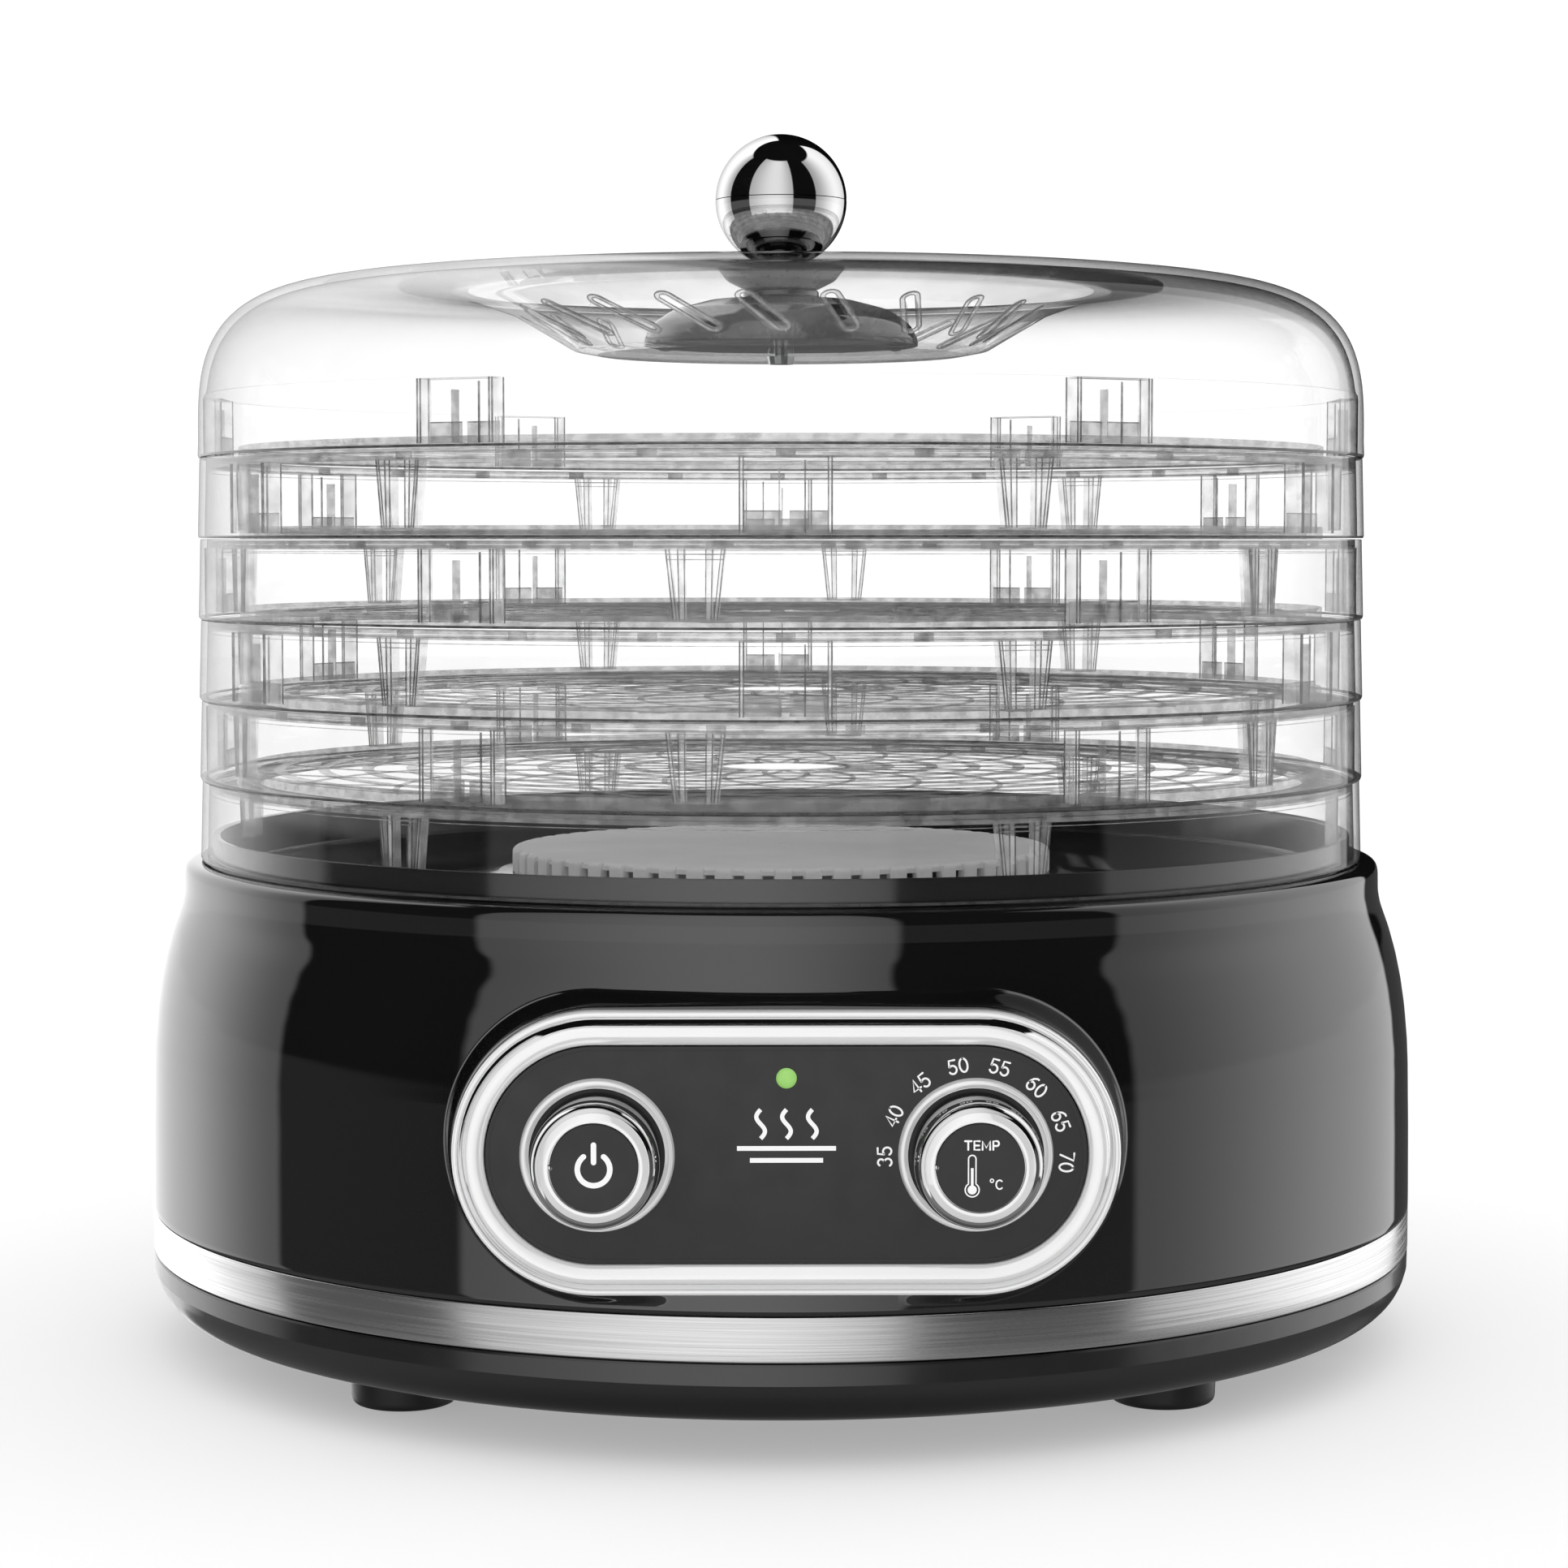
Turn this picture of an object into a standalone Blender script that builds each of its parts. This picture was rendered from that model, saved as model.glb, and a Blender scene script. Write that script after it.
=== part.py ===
"""Round five-tray food dehydrator, built as an assembly of separate parts.

Units are metres and +Z is up. The part stands on z = 0 with its control panel towards -Y. Its origin is the
bottom centre of the whole object's bounding box. The turned parts share one vertical axis, which lies a
little behind the origin because the knobs stand out at the front.
"""
import math

import bmesh
import bpy
from mathutils import Matrix, Vector

# Driving dimensions
GAP = 0.0003                # left between neighbours that touch
WALL = 0.0018               # wall of the clear mouldings
BODY_RADIUS = 0.1742        # widest part of the base
TRAY_TOP_RADIUS = 0.1598
TRAY_SKIRT_RADIUS = 0.1604
TRAY_COUNT = 5
TRAY_PITCH = 0.02176
TRAY_SEAT_Z = 0.1331        # where the lowest tray stands on the base
BAND_BOTTOM = 0.0268
BAND_TOP = 0.0380
COVER_BOTTOM = 0.0108
LID_CREST_Z = 0.2901
LID_CREST_RADIUS = 0.1058
BALL_RADIUS = 0.0182
BALL_Z = 0.3134
PANEL_FRONT = 0.1785        # front of the chrome bezel, measured from the turning axis
PANEL_Z = 0.0770
PANEL_LENGTH = 0.1400       # fascia
PANEL_HEIGHT = 0.0508
BEZEL_WIDTH = 0.0080
KNOB_OFFSET = 0.0440
KNOB_RADIUS = 0.0149
KNOB_REACH = 0.0170         # how far the knobs stand out in front of the bezel
REAR_REACH = 0.1776         # back of the cord bush, measured from the turning axis
BUTTON_TRAVEL = 0.0035

FRONT_REACH = PANEL_FRONT + KNOB_REACH
AXIS_Y = (FRONT_REACH - REAR_REACH) / 2
LID_SEAT_Z = TRAY_SEAT_Z + TRAY_COUNT * TRAY_PITCH
TRAY_TOP = TRAY_PITCH - GAP
FLANGE_BOTTOM = TRAY_TOP - 0.0027   # ledge round the inside of a tray's top, which its floor lies on
FLANGE_TOP = TRAY_TOP - 0.0003
FLOOR_BOTTOM = FLANGE_TOP + GAP
FLOOR_TOP = FLOOR_BOTTOM + 0.0021

SEGMENTS = 36               # sides of the large turned parts
SMALL_SEGMENTS = 18

FINISHES = {                # colour, roughness, metallic
    "gloss_black": ((0.012, 0.012, 0.013), 0.12, 0.0),
    "dark_plastic": ((0.035, 0.035, 0.037), 0.30, 0.0),
    "grey_plastic": ((0.45, 0.45, 0.45), 0.55, 0.0),
    "white_plastic": ((0.75, 0.75, 0.73), 0.50, 0.0),
    "clear_plastic": ((0.90, 0.92, 0.93), 0.05, 0.0),
    "green_lens": ((0.30, 0.60, 0.15), 0.20, 0.0),
    "black_rubber": ((0.02, 0.02, 0.02), 0.80, 0.0),
    "chrome": ((0.80, 0.80, 0.82), 0.06, 1.0),
    "brushed_steel": ((0.62, 0.62, 0.64), 0.32, 1.0),
    "galvanised": ((0.50, 0.51, 0.52), 0.45, 1.0),
    "heating_wire": ((0.30, 0.24, 0.20), 0.40, 1.0),
    "mica": ((0.55, 0.47, 0.34), 0.60, 0.0),
    "circuit_board": ((0.05, 0.20, 0.08), 0.50, 0.0),
    "red_sleeve": ((0.45, 0.03, 0.02), 0.45, 0.0),
    "blue_sleeve": ((0.03, 0.08, 0.40), 0.45, 0.0),
    "white_sleeve": ((0.70, 0.70, 0.68), 0.45, 0.0),
}


# Scene helpers

def clear_scene():
    for obj in list(bpy.data.objects):
        bpy.data.objects.remove(obj, do_unlink=True)


def new_collection(name):
    collection = bpy.data.collections.new(name)
    bpy.context.scene.collection.children.link(collection)
    return collection


def new_empty(name, location, rotation=(0.0, 0.0, 0.0), parent=None):
    empty = bpy.data.objects.new(name, None)
    empty.location = location
    empty.rotation_euler = rotation
    empty.parent = parent
    PARTS.objects.link(empty)
    return empty


def apply_finish(obj, finish):
    colour, roughness, metallic = FINISHES[finish]
    material = bpy.data.materials.new(f"{obj.name}_{finish}")
    material.use_nodes = True
    shader = material.node_tree.nodes["Principled BSDF"]
    shader.inputs["Base Color"].default_value = (*colour, 1.0)
    shader.inputs["Roughness"].default_value = roughness
    shader.inputs["Metallic"].default_value = metallic
    if finish == "clear_plastic":
        shader.inputs["Transmission Weight"].default_value = 0.9
    obj.data.materials.clear()
    obj.data.materials.append(material)


def add_object(name, mesh, finish=None, parent=None, location=(0.0, 0.0, 0.0), rotation=(0.0, 0.0, 0.0)):
    """Adds a part, or a cutter where no finish is given."""
    obj = bpy.data.objects.new(name, mesh)
    obj.parent = parent
    obj.location = location
    obj.rotation_euler = rotation
    if finish:
        PARTS.objects.link(obj)
        apply_finish(obj, finish)
        mesh.shade_smooth()
        if mesh.polygons:
            mesh.set_sharp_from_angle(angle=math.radians(30))
    else:
        CUTTERS.objects.link(obj)
        obj.hide_render = True
        obj.display_type = "WIRE"
    return obj


def evaluated_mesh(obj):
    """The object's mesh with its modifiers applied and its loose caps welded."""
    bpy.context.view_layer.update()
    graph = bpy.context.evaluated_depsgraph_get()
    mesh = bpy.data.meshes.new_from_object(obj.evaluated_get(graph))
    shape = bmesh.new()
    shape.from_mesh(mesh)
    bmesh.ops.remove_doubles(shape, verts=shape.verts, dist=0.000001)
    shape.to_mesh(mesh)
    shape.free()
    return mesh


# Shape helpers

def turned(name, profile, finish=None, parent=None, closed=True, segments=SEGMENTS, **place):
    """A profile of (radius, height) points turned about the vertical axis, listed down its outer side."""
    count = len(profile)
    edges = [(i, i + 1) for i in range(count - 1)]
    if closed:
        edges.append((count - 1, 0))
    mesh = bpy.data.meshes.new(name)
    mesh.from_pydata([(radius, 0.0, height) for radius, height in profile], edges, [])
    obj = add_object(name, mesh, finish, parent, **place)
    screw = obj.modifiers.new("turn", "SCREW")
    screw.steps = segments
    screw.render_steps = segments
    screw.use_merge_vertices = True
    screw.merge_threshold = 0.00001
    screw.use_smooth_shade = True
    return obj


def circle(radius, centre=(0.0, 0.0), segments=SEGMENTS):
    step = 2 * math.pi / segments
    return [(centre[0] + radius * math.cos(i * step), centre[1] + radius * math.sin(i * step))
            for i in range(segments)]


def stadium(length, height, arc_steps=6):
    """Outline of a plate with two round ends."""
    radius = height / 2
    centre = length / 2 - radius
    right = [math.radians(-90 + 180 * i / arc_steps) for i in range(arc_steps + 1)]
    points = [(centre + radius * math.cos(a), radius * math.sin(a)) for a in right]
    points += [(-centre - radius * math.cos(a), -radius * math.sin(a)) for a in right]
    return points


def sector(inner, outer, start, end, steps=3):
    """Outline of part of a ring between two angles in degrees."""
    angles = [math.radians(start + (end - start) * i / steps) for i in range(steps + 1)]
    points = [(outer * math.cos(a), outer * math.sin(a)) for a in angles]
    points += [(inner * math.cos(a), inner * math.sin(a)) for a in reversed(angles)]
    return points


def plate(name, outlines, bottom, top, finish=None, parent=None, location=(0.0, 0.0), rotation=(0.0, 0.0, 0.0)):
    """A flat shape from closed outlines, where an outline inside another is a hole."""
    curve = bpy.data.curves.new(name + "_outline", "CURVE")
    curve.dimensions = "2D"
    curve.fill_mode = "BOTH"
    curve.extrude = (top - bottom) / 2
    for outline in outlines:
        spline = curve.splines.new("POLY")
        spline.points.add(len(outline) - 1)
        for point, (x, y) in zip(spline.points, outline):
            point.co = (x, y, 0.0, 1.0)
        spline.use_cyclic_u = True
    drawing = bpy.data.objects.new(name + "_outline", curve)
    CUTTERS.objects.link(drawing)
    mesh = evaluated_mesh(drawing)
    mesh.name = name
    bpy.data.objects.remove(drawing, do_unlink=True)
    place = (location[0], location[1], (bottom + top) / 2)
    return add_object(name, mesh, finish, parent, place, rotation)


def block(name, low, high, finish=None, parent=None):
    """A box between two corners."""
    shape = bmesh.new()
    size = [b - a for a, b in zip(low, high)]
    bmesh.ops.create_cube(shape, size=1.0, matrix=Matrix.Diagonal((*size, 1.0)))
    mesh = bpy.data.meshes.new(name)
    shape.to_mesh(mesh)
    shape.free()
    middle = [(a + b) / 2 for a, b in zip(low, high)]
    return add_object(name, mesh, finish, parent, middle)


def solids(name, matrices, sides=4, bottom_scale=1.0, parent=None):
    """A cutter of several separate prisms, each one unit high, wide and deep before its matrix."""
    shape = bmesh.new()
    radius = math.sqrt(0.5) if sides == 4 else 0.5
    turn = Matrix.Rotation(math.radians(45), 4, "Z") if sides == 4 else Matrix.Identity(4)
    for matrix in matrices:
        bmesh.ops.create_cone(shape, cap_ends=True, segments=sides, radius1=radius * bottom_scale,
                              radius2=radius, depth=1.0, matrix=matrix @ turn)
    mesh = bpy.data.meshes.new(name)
    shape.to_mesh(mesh)
    shape.free()
    return add_object(name, mesh, parent=parent)


def placed(position, size, spin=0.0, tilt=0.0, twist=0.0):
    """A matrix that sizes a unit prism, twists and tilts it, moves it out and spins it about the axis."""
    return (Matrix.Rotation(math.radians(spin), 4, "Z")
            @ Matrix.Translation(Vector(position))
            @ Matrix.Rotation(math.radians(tilt), 4, "Y")
            @ Matrix.Rotation(math.radians(twist), 4, "Z")
            @ Matrix.Diagonal((*size, 1.0)))


def combine(obj, operation, tool, solver="EXACT"):
    boolean = obj.modifiers.new(tool.name, "BOOLEAN")
    boolean.operation = operation
    boolean.solver = solver
    boolean.object = tool


def smooth_route(points, steps=4):
    """Points along a Catmull-Rom curve through the route's own points."""
    ends = [Vector(p) for p in points]
    ends = [2 * ends[0] - ends[1]] + ends + [2 * ends[-1] - ends[-2]]
    route = []
    for i in range(1, len(ends) - 2):
        a, b, c, d = ends[i - 1:i + 3]
        for k in range(steps):
            t = k / steps
            route.append(0.5 * (2 * b + (c - a) * t + (2 * a - 5 * b + 4 * c - d) * t ** 2
                                + (3 * b - a - 3 * c + d) * t ** 3))
    route.append(ends[-2])
    return route


def wire(name, points, radius, finish, parent, bevel_resolution=0):
    curve = bpy.data.curves.new(name, "CURVE")
    curve.dimensions = "3D"
    curve.bevel_depth = radius
    curve.bevel_resolution = bevel_resolution
    curve.use_fill_caps = True
    spline = curve.splines.new("POLY")
    spline.points.add(len(points) - 1)
    for point, place in zip(spline.points, points):
        point.co = (*place, 1.0)
    drawing = bpy.data.objects.new(name + "_route", curve)
    CUTTERS.objects.link(drawing)
    mesh = evaluated_mesh(drawing)
    mesh.name = name
    bpy.data.objects.remove(drawing, do_unlink=True)
    return add_object(name, mesh, finish, parent)


# Base

FOOT_RADIUS = 0.0138
FOOT_CIRCLE = 0.1370
SCREW_CIRCLE = 0.1555
SCREW_ANGLES = (20, 160, 200, 340)
SCREW_SHANK = 0.0019
BOSS_MARGIN = 0.0030        # black land that shows around the bezel
BOSS_FRONT = 0.1722
PANEL_WALL = 0.0030         # ledge inside the boss that the fascia lies on
INLET_Z = 0.0550
INLET_RADIUS = 0.0080
DUCT_RADIUS = 0.0660
DECK_SEAT_Z = 0.1277
COLLAR_TOP = 0.1395
COLLAR_RADIUS = 0.1573


def base_housing():
    skirt = BODY_RADIUS - 0.0030
    inside = BODY_RADIUS - 0.0054
    profile = [
        (0.1590, 0.1326), (0.1626, 0.1326), (0.1645, 0.1315), (0.1652, 0.1290), (0.1654, 0.1235),
        (0.1680, 0.1145), (0.1711, 0.1020), (0.1731, 0.0870), (0.1739, 0.0680),
        (BODY_RADIUS, 0.0480), (BODY_RADIUS, BAND_TOP + GAP), (skirt, BAND_TOP + GAP), (skirt, 0.0240),
        (inside, 0.0240), (inside, 0.0500), (0.1702, 0.0860), (0.1640, 0.1160), (0.1622, 0.1290),
        (0.1590, 0.1296),
    ]
    housing = turned("base_housing", profile, "gloss_black", AXIS)
    combine(housing, "UNION", panel_boss())
    combine(housing, "UNION", screw_bosses())
    combine(housing, "DIFFERENCE", panel_prism("panel_seat", PANEL_LENGTH + 2 * BEZEL_WIDTH + 2 * GAP,
                                             PANEL_HEIGHT + 2 * BEZEL_WIDTH + 2 * GAP, BOSS_FRONT, 0.1900))
    combine(housing, "DIFFERENCE", panel_prism("panel_opening", PANEL_LENGTH - 2 * PANEL_WALL,
                                             PANEL_HEIGHT - 2 * PANEL_WALL, 0.1300, 0.1850))
    inlet = placed((0.0, 0.1700, INLET_Z), (2 * (INLET_RADIUS + GAP), 2 * (INLET_RADIUS + GAP), 0.03))
    inlet = inlet @ Matrix.Rotation(math.radians(90), 4, "X")
    combine(housing, "DIFFERENCE", solids("inlet_hole", [inlet], sides=16, parent=AXIS))
    combine(housing, "DIFFERENCE", screw_holes("boss_holes", 0.0200, 0.0330, SCREW_SHANK + GAP))


def panel_prism(name, length, height, back, front):
    """A stadium prism across the control panel, between two distances in front of the turning axis."""
    return plate(name, [stadium(length, height)], back - PANEL_FRONT, front - PANEL_FRONT, parent=PANEL)


def panel_boss():
    length = PANEL_LENGTH + 2 * BEZEL_WIDTH + 2 * BOSS_MARGIN
    height = PANEL_HEIGHT + 2 * BEZEL_WIDTH + 2 * BOSS_MARGIN
    return panel_prism("panel_boss", length, height, 0.1480, BOSS_FRONT + 0.0010)


def screw_bosses():
    """Four ribs that carry the cover screws, grown from the housing's wall."""
    length = 0.0200
    ribs = [placed((SCREW_CIRCLE + length / 2 - 0.0050, 0.0, 0.0320), (length, 0.0100, 0.0160), spin)
            for spin in SCREW_ANGLES]
    return solids("screw_bosses", ribs, parent=AXIS)


def screw_holes(name, low, high, radius):
    size = (2 * radius, 2 * radius, high - low)
    holes = [placed((SCREW_CIRCLE, 0.0, (low + high) / 2), size, spin) for spin in SCREW_ANGLES]
    return solids(name, holes, sides=8, parent=AXIS)


def chrome_band():
    inner = BODY_RADIUS - 0.0027
    profile = [(inner, BAND_TOP), (BODY_RADIUS, BAND_TOP), (BODY_RADIUS, BAND_BOTTOM + GAP),
               (inner, BAND_BOTTOM + GAP)]
    turned("chrome_band", profile, "brushed_steel", AXIS)


def bottom_cover():
    """Pan that closes the base, with air intake slots, motor posts and holes for the four screws."""
    inside = BODY_RADIUS - 0.0027
    floor_top = COVER_BOTTOM + 0.0025
    profile = [
        (inside, BAND_BOTTOM), (0.1742, BAND_BOTTOM), (0.1740, 0.0215), (0.1729, 0.0182), (0.1709, 0.0150),
        (0.1680, 0.0125), (0.1615, COVER_BOTTOM), (0.1600, COVER_BOTTOM), (0.1600, floor_top),
        (0.1660, floor_top + 0.0022), (inside, 0.0225),
    ]
    cover = turned("bottom_cover", profile, "dark_plastic", AXIS)
    slots = [sector(0.0500, 0.0850, start, start + 29, steps=1) for start in range(8, 368, 45)]
    outlines = [circle(0.1610)] + slots
    combine(cover, "UNION", plate("cover_floor", outlines, COVER_BOTTOM + 0.0001, floor_top - 0.0001, parent=AXIS))
    post_foot = floor_top - 0.0010
    middle, length = (post_foot + MOTOR_SEAT_Z) / 2, MOTOR_SEAT_Z - post_foot
    posts = [placed((side * MOTOR_POST_REACH, 0.0, middle), (0.0080, 0.0078, length)) for side in (-1, 1)]
    combine(cover, "UNION", solids("motor_posts", posts, sides=12, parent=AXIS), "MANIFOLD")
    combine(cover, "DIFFERENCE", screw_holes("cover_holes", 0.0, 0.0180, SCREW_SHANK + GAP))


def cover_screws():
    head_top = COVER_BOTTOM - GAP
    profile = [(0.0, 0.0300), (SCREW_SHANK, 0.0300), (SCREW_SHANK, head_top), (0.0036, head_top),
               (0.0030, head_top - 0.0018), (0.0, head_top - 0.0018)]
    for number, spin in enumerate(SCREW_ANGLES, 1):
        place = Matrix.Rotation(math.radians(spin), 4, "Z") @ Vector((SCREW_CIRCLE, 0.0, 0.0))
        turned(f"cover_screw_{number}", profile, "galvanised", AXIS, closed=False, segments=10, location=place)


def feet():
    top = COVER_BOTTOM - GAP
    profile = [(0.0, top), (FOOT_RADIUS, top), (FOOT_RADIUS, 0.0016), (FOOT_RADIUS - 0.0016, 0.0), (0.0, 0.0)]
    for number, spin in enumerate((225, 315, 45, 135), 1):
        place = Matrix.Rotation(math.radians(spin), 4, "Z") @ Vector((FOOT_CIRCLE, 0.0, 0.0))
        turned(f"foot_{number}", profile, "black_rubber", AXIS, closed=False, segments=16, location=place)


def top_deck():
    """Dished moulding under the lowest tray, with the collar that locates the tray."""
    profile = [
        (COLLAR_RADIUS - 0.0022, COLLAR_TOP), (COLLAR_RADIUS, COLLAR_TOP), (COLLAR_RADIUS, 0.1330),
        (0.1587, 0.1322), (0.1587, 0.1262), (0.1120, 0.1190), (0.0800, DECK_SEAT_Z - 0.0026),
        (0.0640, DECK_SEAT_Z - 0.0026), (0.0640, DECK_SEAT_Z), (0.0790, DECK_SEAT_Z), (0.1120, 0.1215),
        (0.1543, 0.1285),
    ]
    turned("top_deck", profile, "dark_plastic", AXIS)


def air_diffuser():
    """Cap over the warm air outlet, with slots all round its skirt."""
    radius = 0.0750
    top = 0.1345
    bottom = DECK_SEAT_Z + GAP
    profile = [(0.0, top), (radius - 0.0010, top), (radius, top - 0.0010), (radius, bottom),
               (radius - 0.0030, bottom), (radius - 0.0030, top - 0.0022), (0.0, top - 0.0022)]
    cap = turned("air_diffuser", profile, "grey_plastic", AXIS, closed=False)
    low = bottom + 0.0006
    high = top - 0.0024
    bars = [placed((0.0, 0.0, (low + high) / 2), (0.1700, 0.0060, high - low), spin) for spin in range(5, 180, 20)]
    for number, bar in enumerate(bars):
        combine(cap, "DIFFERENCE", solids(f"diffuser_slot_{number}", [bar], parent=AXIS))


# Air mover and heater

MOTOR_SEAT_Z = 0.0490
MOTOR_POST_REACH = 0.0760
MOTOR_TOP = 0.0830
SHAFT_RADIUS = 0.0025
FAN_BOTTOM = 0.0880
FAN_TOP = 0.1000
FAN_RADIUS = 0.0590
HEATER_BOTTOM = 0.1080
HEATER_TOP = 0.1160


def motor_and_fan():
    outline = [stadium(2 * MOTOR_POST_REACH + 0.0160, 0.0400), circle(0.0060, segments=16)]
    plate("motor_bracket", outline, MOTOR_SEAT_Z + GAP, MOTOR_SEAT_Z + 0.0023, "galvanised", AXIS)
    bottom = MOTOR_SEAT_Z + 0.0026
    hole = SHAFT_RADIUS + GAP
    profile = [(0.0, 0.0640), (hole, 0.0640), (hole, MOTOR_TOP), (0.0090, MOTOR_TOP), (0.0090, MOTOR_TOP - 0.0030),
               (0.0290, MOTOR_TOP - 0.0030), (0.0300, MOTOR_TOP - 0.0050), (0.0300, bottom), (0.0, bottom)]
    turned("motor", profile, "galvanised", AXIS, closed=False, segments=SMALL_SEGMENTS)
    shaft = [(0.0, 0.0960), (SHAFT_RADIUS, 0.0960), (SHAFT_RADIUS, 0.0643), (0.0, 0.0643)]
    turned("motor_shaft", shaft, "brushed_steel", AXIS, closed=False, segments=12)
    hub = [(0.0, FAN_TOP), (0.0090, FAN_TOP), (0.0110, FAN_TOP - 0.0020), (0.0110, FAN_BOTTOM),
           (hole, FAN_BOTTOM), (hole, 0.0963), (0.0, 0.0963)]
    fan = turned("fan_impeller", hub, "white_plastic", AXIS, closed=False, segments=SMALL_SEGMENTS)
    length = FAN_RADIUS - 0.0090
    pitch = Matrix.Rotation(math.radians(35), 4, "X")
    blades = [Matrix.Rotation(math.radians(spin), 4, "Z")
              @ Matrix.Translation((0.0090 + length / 2, 0.0, (FAN_BOTTOM + FAN_TOP) / 2))
              @ pitch @ Matrix.Diagonal((length, 0.0014, 0.0130, 1.0)) for spin in range(0, 360, 45)]
    combine(fan, "UNION", solids("fan_blades", blades, parent=AXIS))


def heater():
    top = DECK_SEAT_Z - 0.0026 - GAP
    duct = [(DUCT_RADIUS, top), (DUCT_RADIUS + 0.0012, top), (DUCT_RADIUS + 0.0012, 0.0860), (DUCT_RADIUS, 0.0860)]
    turned("air_duct", duct, "galvanised", AXIS)
    arm = 2 * (DUCT_RADIUS - 0.0010)
    height = HEATER_TOP - HEATER_BOTTOM
    middle = (HEATER_TOP + HEATER_BOTTOM) / 2
    frame = block("heater_frame", (-arm / 2, -0.0008, HEATER_BOTTOM), (arm / 2, 0.0008, HEATER_TOP), "mica", AXIS)
    crosspiece = placed((0.0, 0.0, middle), (0.0016, arm, height + 0.0004))
    combine(frame, "UNION", solids("heater_crosspiece", [crosspiece], parent=AXIS))
    turns = 3
    points_per_turn = 12
    height = HEATER_TOP + 0.0002 + 0.0015 + GAP
    count = turns * points_per_turn
    spiral = []
    for i in range(count + 1):
        angle = 2 * math.pi * i / points_per_turn
        radius = 0.0240 + 0.0330 * i / count
        spiral.append((radius * math.cos(angle), radius * math.sin(angle), height))
    wire("heater_coil", spiral, 0.0015, "heating_wire", AXIS, 0)
    fuse = [(0.0, 0.1120), (0.0020, 0.1120), (0.0020, 0.1010), (0.0, 0.1010)]
    turned("thermal_fuse", fuse, "white_plastic", AXIS, closed=False, segments=10,
           location=(DUCT_RADIUS + 0.0037, 0.0, 0.0))


# Control panel. In the panel's own axes +X is right, +Y is up and +Z points out of the panel; z = 0 is the
# bezel's front.

FASCIA_FRONT = -0.0010
FASCIA_BACK = BOSS_FRONT + GAP - PANEL_FRONT
CONTROL_PLATE_BACK = 0.1685 - PANEL_FRONT
WELL_RADIUS = 0.0156
LED_HEIGHT = 0.0180
LED_RADIUS = 0.0025
SPINDLE_RADIUS = 0.0030
SWITCH_FRONT = CONTROL_PLATE_BACK - GAP
KNOB_BACK = FASCIA_FRONT


def panel_parts():
    bezel_length = PANEL_LENGTH + 2 * BEZEL_WIDTH
    bezel_height = PANEL_HEIGHT + 2 * BEZEL_WIDTH
    rim = [stadium(bezel_length, bezel_height), stadium(PANEL_LENGTH + 2 * GAP, PANEL_HEIGHT + 2 * GAP)]
    bezel = plate("panel_bezel", rim, FASCIA_BACK, 0.0, "chrome", PANEL)
    edge = bezel.modifiers.new("edges", "BEVEL")
    edge.width = 0.0020
    edge.segments = 1
    wells = [circle(WELL_RADIUS, (side * KNOB_OFFSET, 0.0), SMALL_SEGMENTS) for side in (-1, 1)]
    lamp_hole = circle(LED_RADIUS + GAP, (0.0, LED_HEIGHT), 12)
    outline = [stadium(PANEL_LENGTH, PANEL_HEIGHT)] + wells + [lamp_hole]
    plate("panel_fascia", outline, FASCIA_BACK, FASCIA_FRONT, "dark_plastic", PANEL)
    spindle_holes = [circle(SPINDLE_RADIUS + GAP, (side * KNOB_OFFSET, 0.0), 12) for side in (-1, 1)]
    outline = [stadium(PANEL_LENGTH - 2 * PANEL_WALL - 2 * GAP, PANEL_HEIGHT - 2 * PANEL_WALL - 2 * GAP)]
    plate("control_plate", outline + spindle_holes, CONTROL_PLATE_BACK, CONTROL_PLATE_BACK + 0.0015, "galvanised",
          PANEL)
    lens = [(0.0, FASCIA_FRONT + 0.0008), (LED_RADIUS * 0.7, FASCIA_FRONT + 0.0005), (LED_RADIUS, FASCIA_FRONT),
            (LED_RADIUS, FASCIA_BACK + GAP), (0.0, FASCIA_BACK + GAP)]
    turned("led_lens", lens, "green_lens", PANEL, closed=False, segments=12, location=(0.0, LED_HEIGHT, 0.0))
    board_front = FASCIA_BACK - GAP
    block("led_board", (-0.0100, LED_HEIGHT - 0.0030, board_front - 0.0016), (0.0100, LED_HEIGHT + 0.0030, board_front),
          "circuit_board", PANEL)
    ring = [(WELL_RADIUS + 0.0002, 0.0010), (0.0169, 0.0010), (0.0181, FASCIA_FRONT + GAP),
            (WELL_RADIUS + 0.0002, FASCIA_FRONT + GAP)]
    for name, side in (("power_escutcheon", -1), ("temp_escutcheon", 1)):
        turned(name, ring, "chrome", PANEL, segments=SMALL_SEGMENTS, location=(side * KNOB_OFFSET, 0.0, 0.0))


def knob(name, cap_name, spindle_name, parent, spindle_end):
    """A chromed knob with an inlaid face, on its spindle."""
    recess = KNOB_REACH - 0.0015
    bore = SPINDLE_RADIUS + GAP
    bore_end = 0.0083
    profile = [(0.0, recess), (0.0104, recess), (0.0104, KNOB_REACH), (0.0119, KNOB_REACH),
               (0.0142, KNOB_REACH - 0.0018), (KNOB_RADIUS, KNOB_REACH - 0.0048), (KNOB_RADIUS, KNOB_BACK),
               (bore, KNOB_BACK), (bore, bore_end), (0.0, bore_end)]
    turned(name, profile, "chrome", parent, closed=False, segments=SMALL_SEGMENTS)
    cap = [(0.0, KNOB_REACH - GAP), (0.0101, KNOB_REACH - GAP), (0.0101, recess + GAP), (0.0, recess + GAP)]
    turned(cap_name, cap, "dark_plastic", parent, closed=False, segments=SMALL_SEGMENTS)
    spindle = [(0.0, bore_end - GAP), (SPINDLE_RADIUS, bore_end - GAP), (SPINDLE_RADIUS, spindle_end), (0.0, spindle_end)]
    turned(spindle_name, spindle, "brushed_steel", parent, closed=False, segments=12)


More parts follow.
